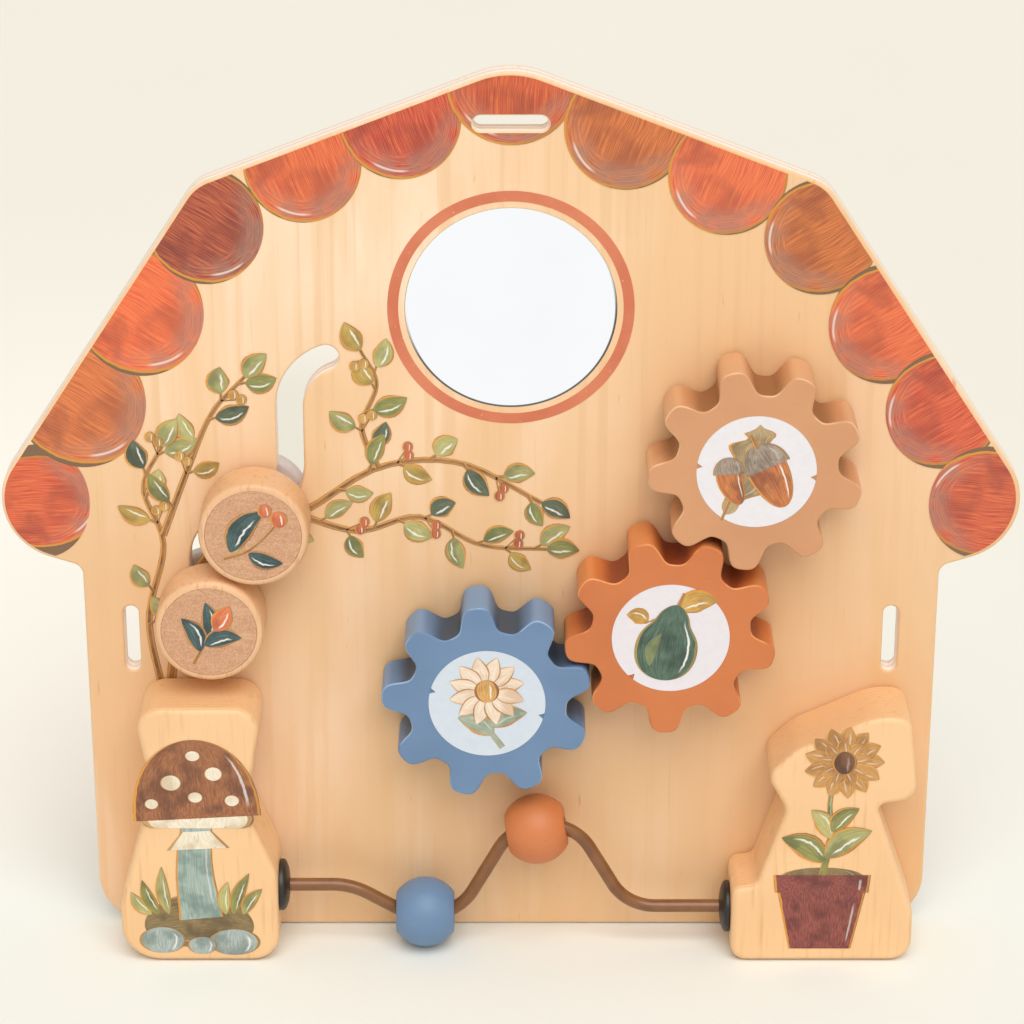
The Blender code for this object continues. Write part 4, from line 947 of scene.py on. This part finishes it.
# Bead wire: one steel rod, bent cold at four places and dipped in brown plastic, with both ends pushed
# into the blocks. A domed black collar hides each hole.
WIRE_Y = -0.0203
WIRE_RADIUS = 0.00265
bpy.ops.mesh.primitive_circle_add(vertices=24, radius=WIRE_RADIUS, fill_type="NOTHING",
                                  location=(-0.1053, WIRE_Y, 0.0272), rotation=(0, radians(90), 0))
wire = bpy.context.object
wire.name = "bent_wire"
bpy.ops.object.transform_apply(location=True, rotation=True, scale=True)
open_all()
route = [Vector(stop) for stop in ((-0.1053, 0.0272), (-0.0649, 0.0272), (-0.0266, 0.0042), (0.0133, 0.0773),
                                   (0.0472, 0.0172), (0.1006, 0.0172))]
here = route[0]
for bend in zip(route, route[1:], route[2:], (0.028, 0.022, 0.021, 0.02)):
    first, spoke, turn = bend_at(*bend)
    centre = first - spoke
    run = first - here
    bpy.ops.mesh.extrude_region_move(TRANSFORM_OT_translate={"value": (run.x, 0, run.y)})
    steps = max(4, ceil(abs(turn) / radians(5)))
    bpy.ops.mesh.spin(steps=steps, angle=turn, center=(centre.x, WIRE_Y, centre.y), axis=(0, 1, 0))
    here = centre + Matrix.Rotation(turn, 2) @ spoke
run = route[-1] - here
bpy.ops.mesh.extrude_region_move(TRANSFORM_OT_translate={"value": (run.x, 0, run.y)})
bpy.ops.mesh.select_all(action="SELECT")
bpy.ops.mesh.remove_doubles(threshold=1e-6)
bpy.ops.mesh.fill_holes(sides=0)
close_up()
smooth(wire)
# Dipped plastic: a warm brown skin, half glossy, with slow thick and thin places.
coated, tree, shader, place = new_material("brown_dipped_plastic", Roughness=0.35, Coat_Weight=0.25,
                                           Coat_Roughness=0.2)
dress(tree, shader, coats(tree, "855528", ("784924", (pattern(tree, place, 120, 2), 0.35, 0.7))))
finish_piece(wire, coated, "board", "coated_wire", "bead_wire")

# Moulded black plastic: almost black, a soft gloss and a fine orange-peel skin.
black, tree, shader, place = new_material("black_moulding", Roughness=0.38)
peel = pattern(tree, place, 500, 2)
dress(tree, shader, coats(tree, "1B1918", ("252220", peel)), peel, 0.08, 0.0001)
COLLAR_RADIUS = 0.0105
COLLAR_RIM = 0.0012
COLLAR_BORE = 0.0028
for name, up, facing in (("left", route[0].y, 1), ("right", route[-1].y, -1)):
    low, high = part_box("%s_wire_collar" % name)
    foot = low[0] if facing > 0 else high[0]
    dome = [acos(COLLAR_BORE / COLLAR_RADIUS) * step / 8 for step in range(9)]
    profile = [(COLLAR_BORE, 0), (COLLAR_RADIUS, 0)]
    profile += [(COLLAR_RADIUS * cos(angle), COLLAR_RIM + 0.0028 * sin(angle)) for angle in dome]
    collar = turned(f"{name}_black_collar", profile, 0, 0, 64)
    aim = Matrix.Rotation(radians(-90 * facing), 4, "Z")
    collar.data.transform(Matrix.Translation((foot, WIRE_Y, up)) @ aim)
    smooth(collar)
    finish_piece(collar, black, "board", "black_collar", f"{name}_wire_collar")


# Beads: two 28 mm beech balls with flattened, drilled ends, painted blue and terracotta, loose on the wire.
BALL_RADIUS = 0.0142
BALL_HALF = 0.01175
BALL_BORE = 0.0034
flat = acos(BALL_HALF / BALL_RADIUS)
arc = [flat + (pi - 2 * flat) * step / 32 for step in range(33)]
ball = [(BALL_RADIUS * sin(angle), -BALL_RADIUS * cos(angle)) for angle in arc]
ball = [(BALL_BORE, -BALL_HALF), *ball, (BALL_BORE, BALL_HALF)]
BEADS = {
    "blue": (270, (-0.03493, 0.03486), 0.022, "blue_paint", ("6D8BAE", "6583A5", "8AA5C2")),
    "orange": (100, (0.0136, 0.03402), 0.021, "terracotta_paint", ("CF7A44", "C67040", "DF925C"))}
for name, (turn, centre, radius, slot_name, colours) in BEADS.items():
    bow = radius - sqrt(radius ** 2 - BALL_HALF ** 2)
    outwards = heading_of(turn)
    spot = Vector(centre) + outwards * (radius - bow / 2)
    bead = turned(f"{name}_wooden_bead", ball, 0, 0)
    aim = Vector((0, 1, 0)).rotation_difference(Vector((-outwards.y, 0, outwards.x)))
    bead.data.transform(Matrix.Translation((spot.x, WIRE_Y, spot.y)) @ aim.to_matrix().to_4x4())
    smooth(bead, 50)
    finish_piece(bead, painted_wood(f"{name}_bead_paint", *colours), f"{name}_bead", slot_name,
                 f"{name}_bead")


# Fittings: zinc-plated screws, bushes and barrel nuts, beech washers and dowels, and the mirror's foam
# pad. They keep the shapes of the construction, and only the nuts and screw heads show, from behind.
def keep_nodes(material, nodes):
    """Gives CAD nodes their surface."""
    for name in nodes:
        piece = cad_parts[name]
        piece.data.materials.clear()
        piece.data.materials.append(material)


# Zinc plating: bluish silver, half dull, in small cloudy patches.
zinc, tree, shader, place = new_material("zinc_plating", Metallic=1)
cloud = pattern(tree, place, 350)
dress(tree, shader, coats(tree, "A9ABAC", ("C9CBCB", cloud)))
dull = node(tree, "MapRange", {"Value": cloud, "To Min": 0.28, "To Max": 0.45})
tree.links.new(dull, shader.inputs["Roughness"])
fittings = [f"{name}_gear_{part}" for name in GEARS for part in ("bush", "screw", "nut")]
fittings += [f"{name}_slider_screw" for name in SLIDERS]
fittings += [f"{name}_block_{level}_screw" for name in ("left", "right") for level in ("lower", "upper")]
keep_nodes(zinc, fittings)
keep_nodes(slider_wood, [f"{name}_gear_spacer" for name in GEARS]
           + [f"{name}_slider_stem" for name in SLIDERS])
# Foam tape: dark grey with open cells.
foam, tree, shader, place = new_material("foam_tape", Roughness=0.95)
cells = node(tree, "TexVoronoi", {"Vector": place, "Scale": 1500})
dress(tree, shader, coats(tree, "2E2E2E", ("474747", cells)))
keep_nodes(foam, ["mirror_pad"])
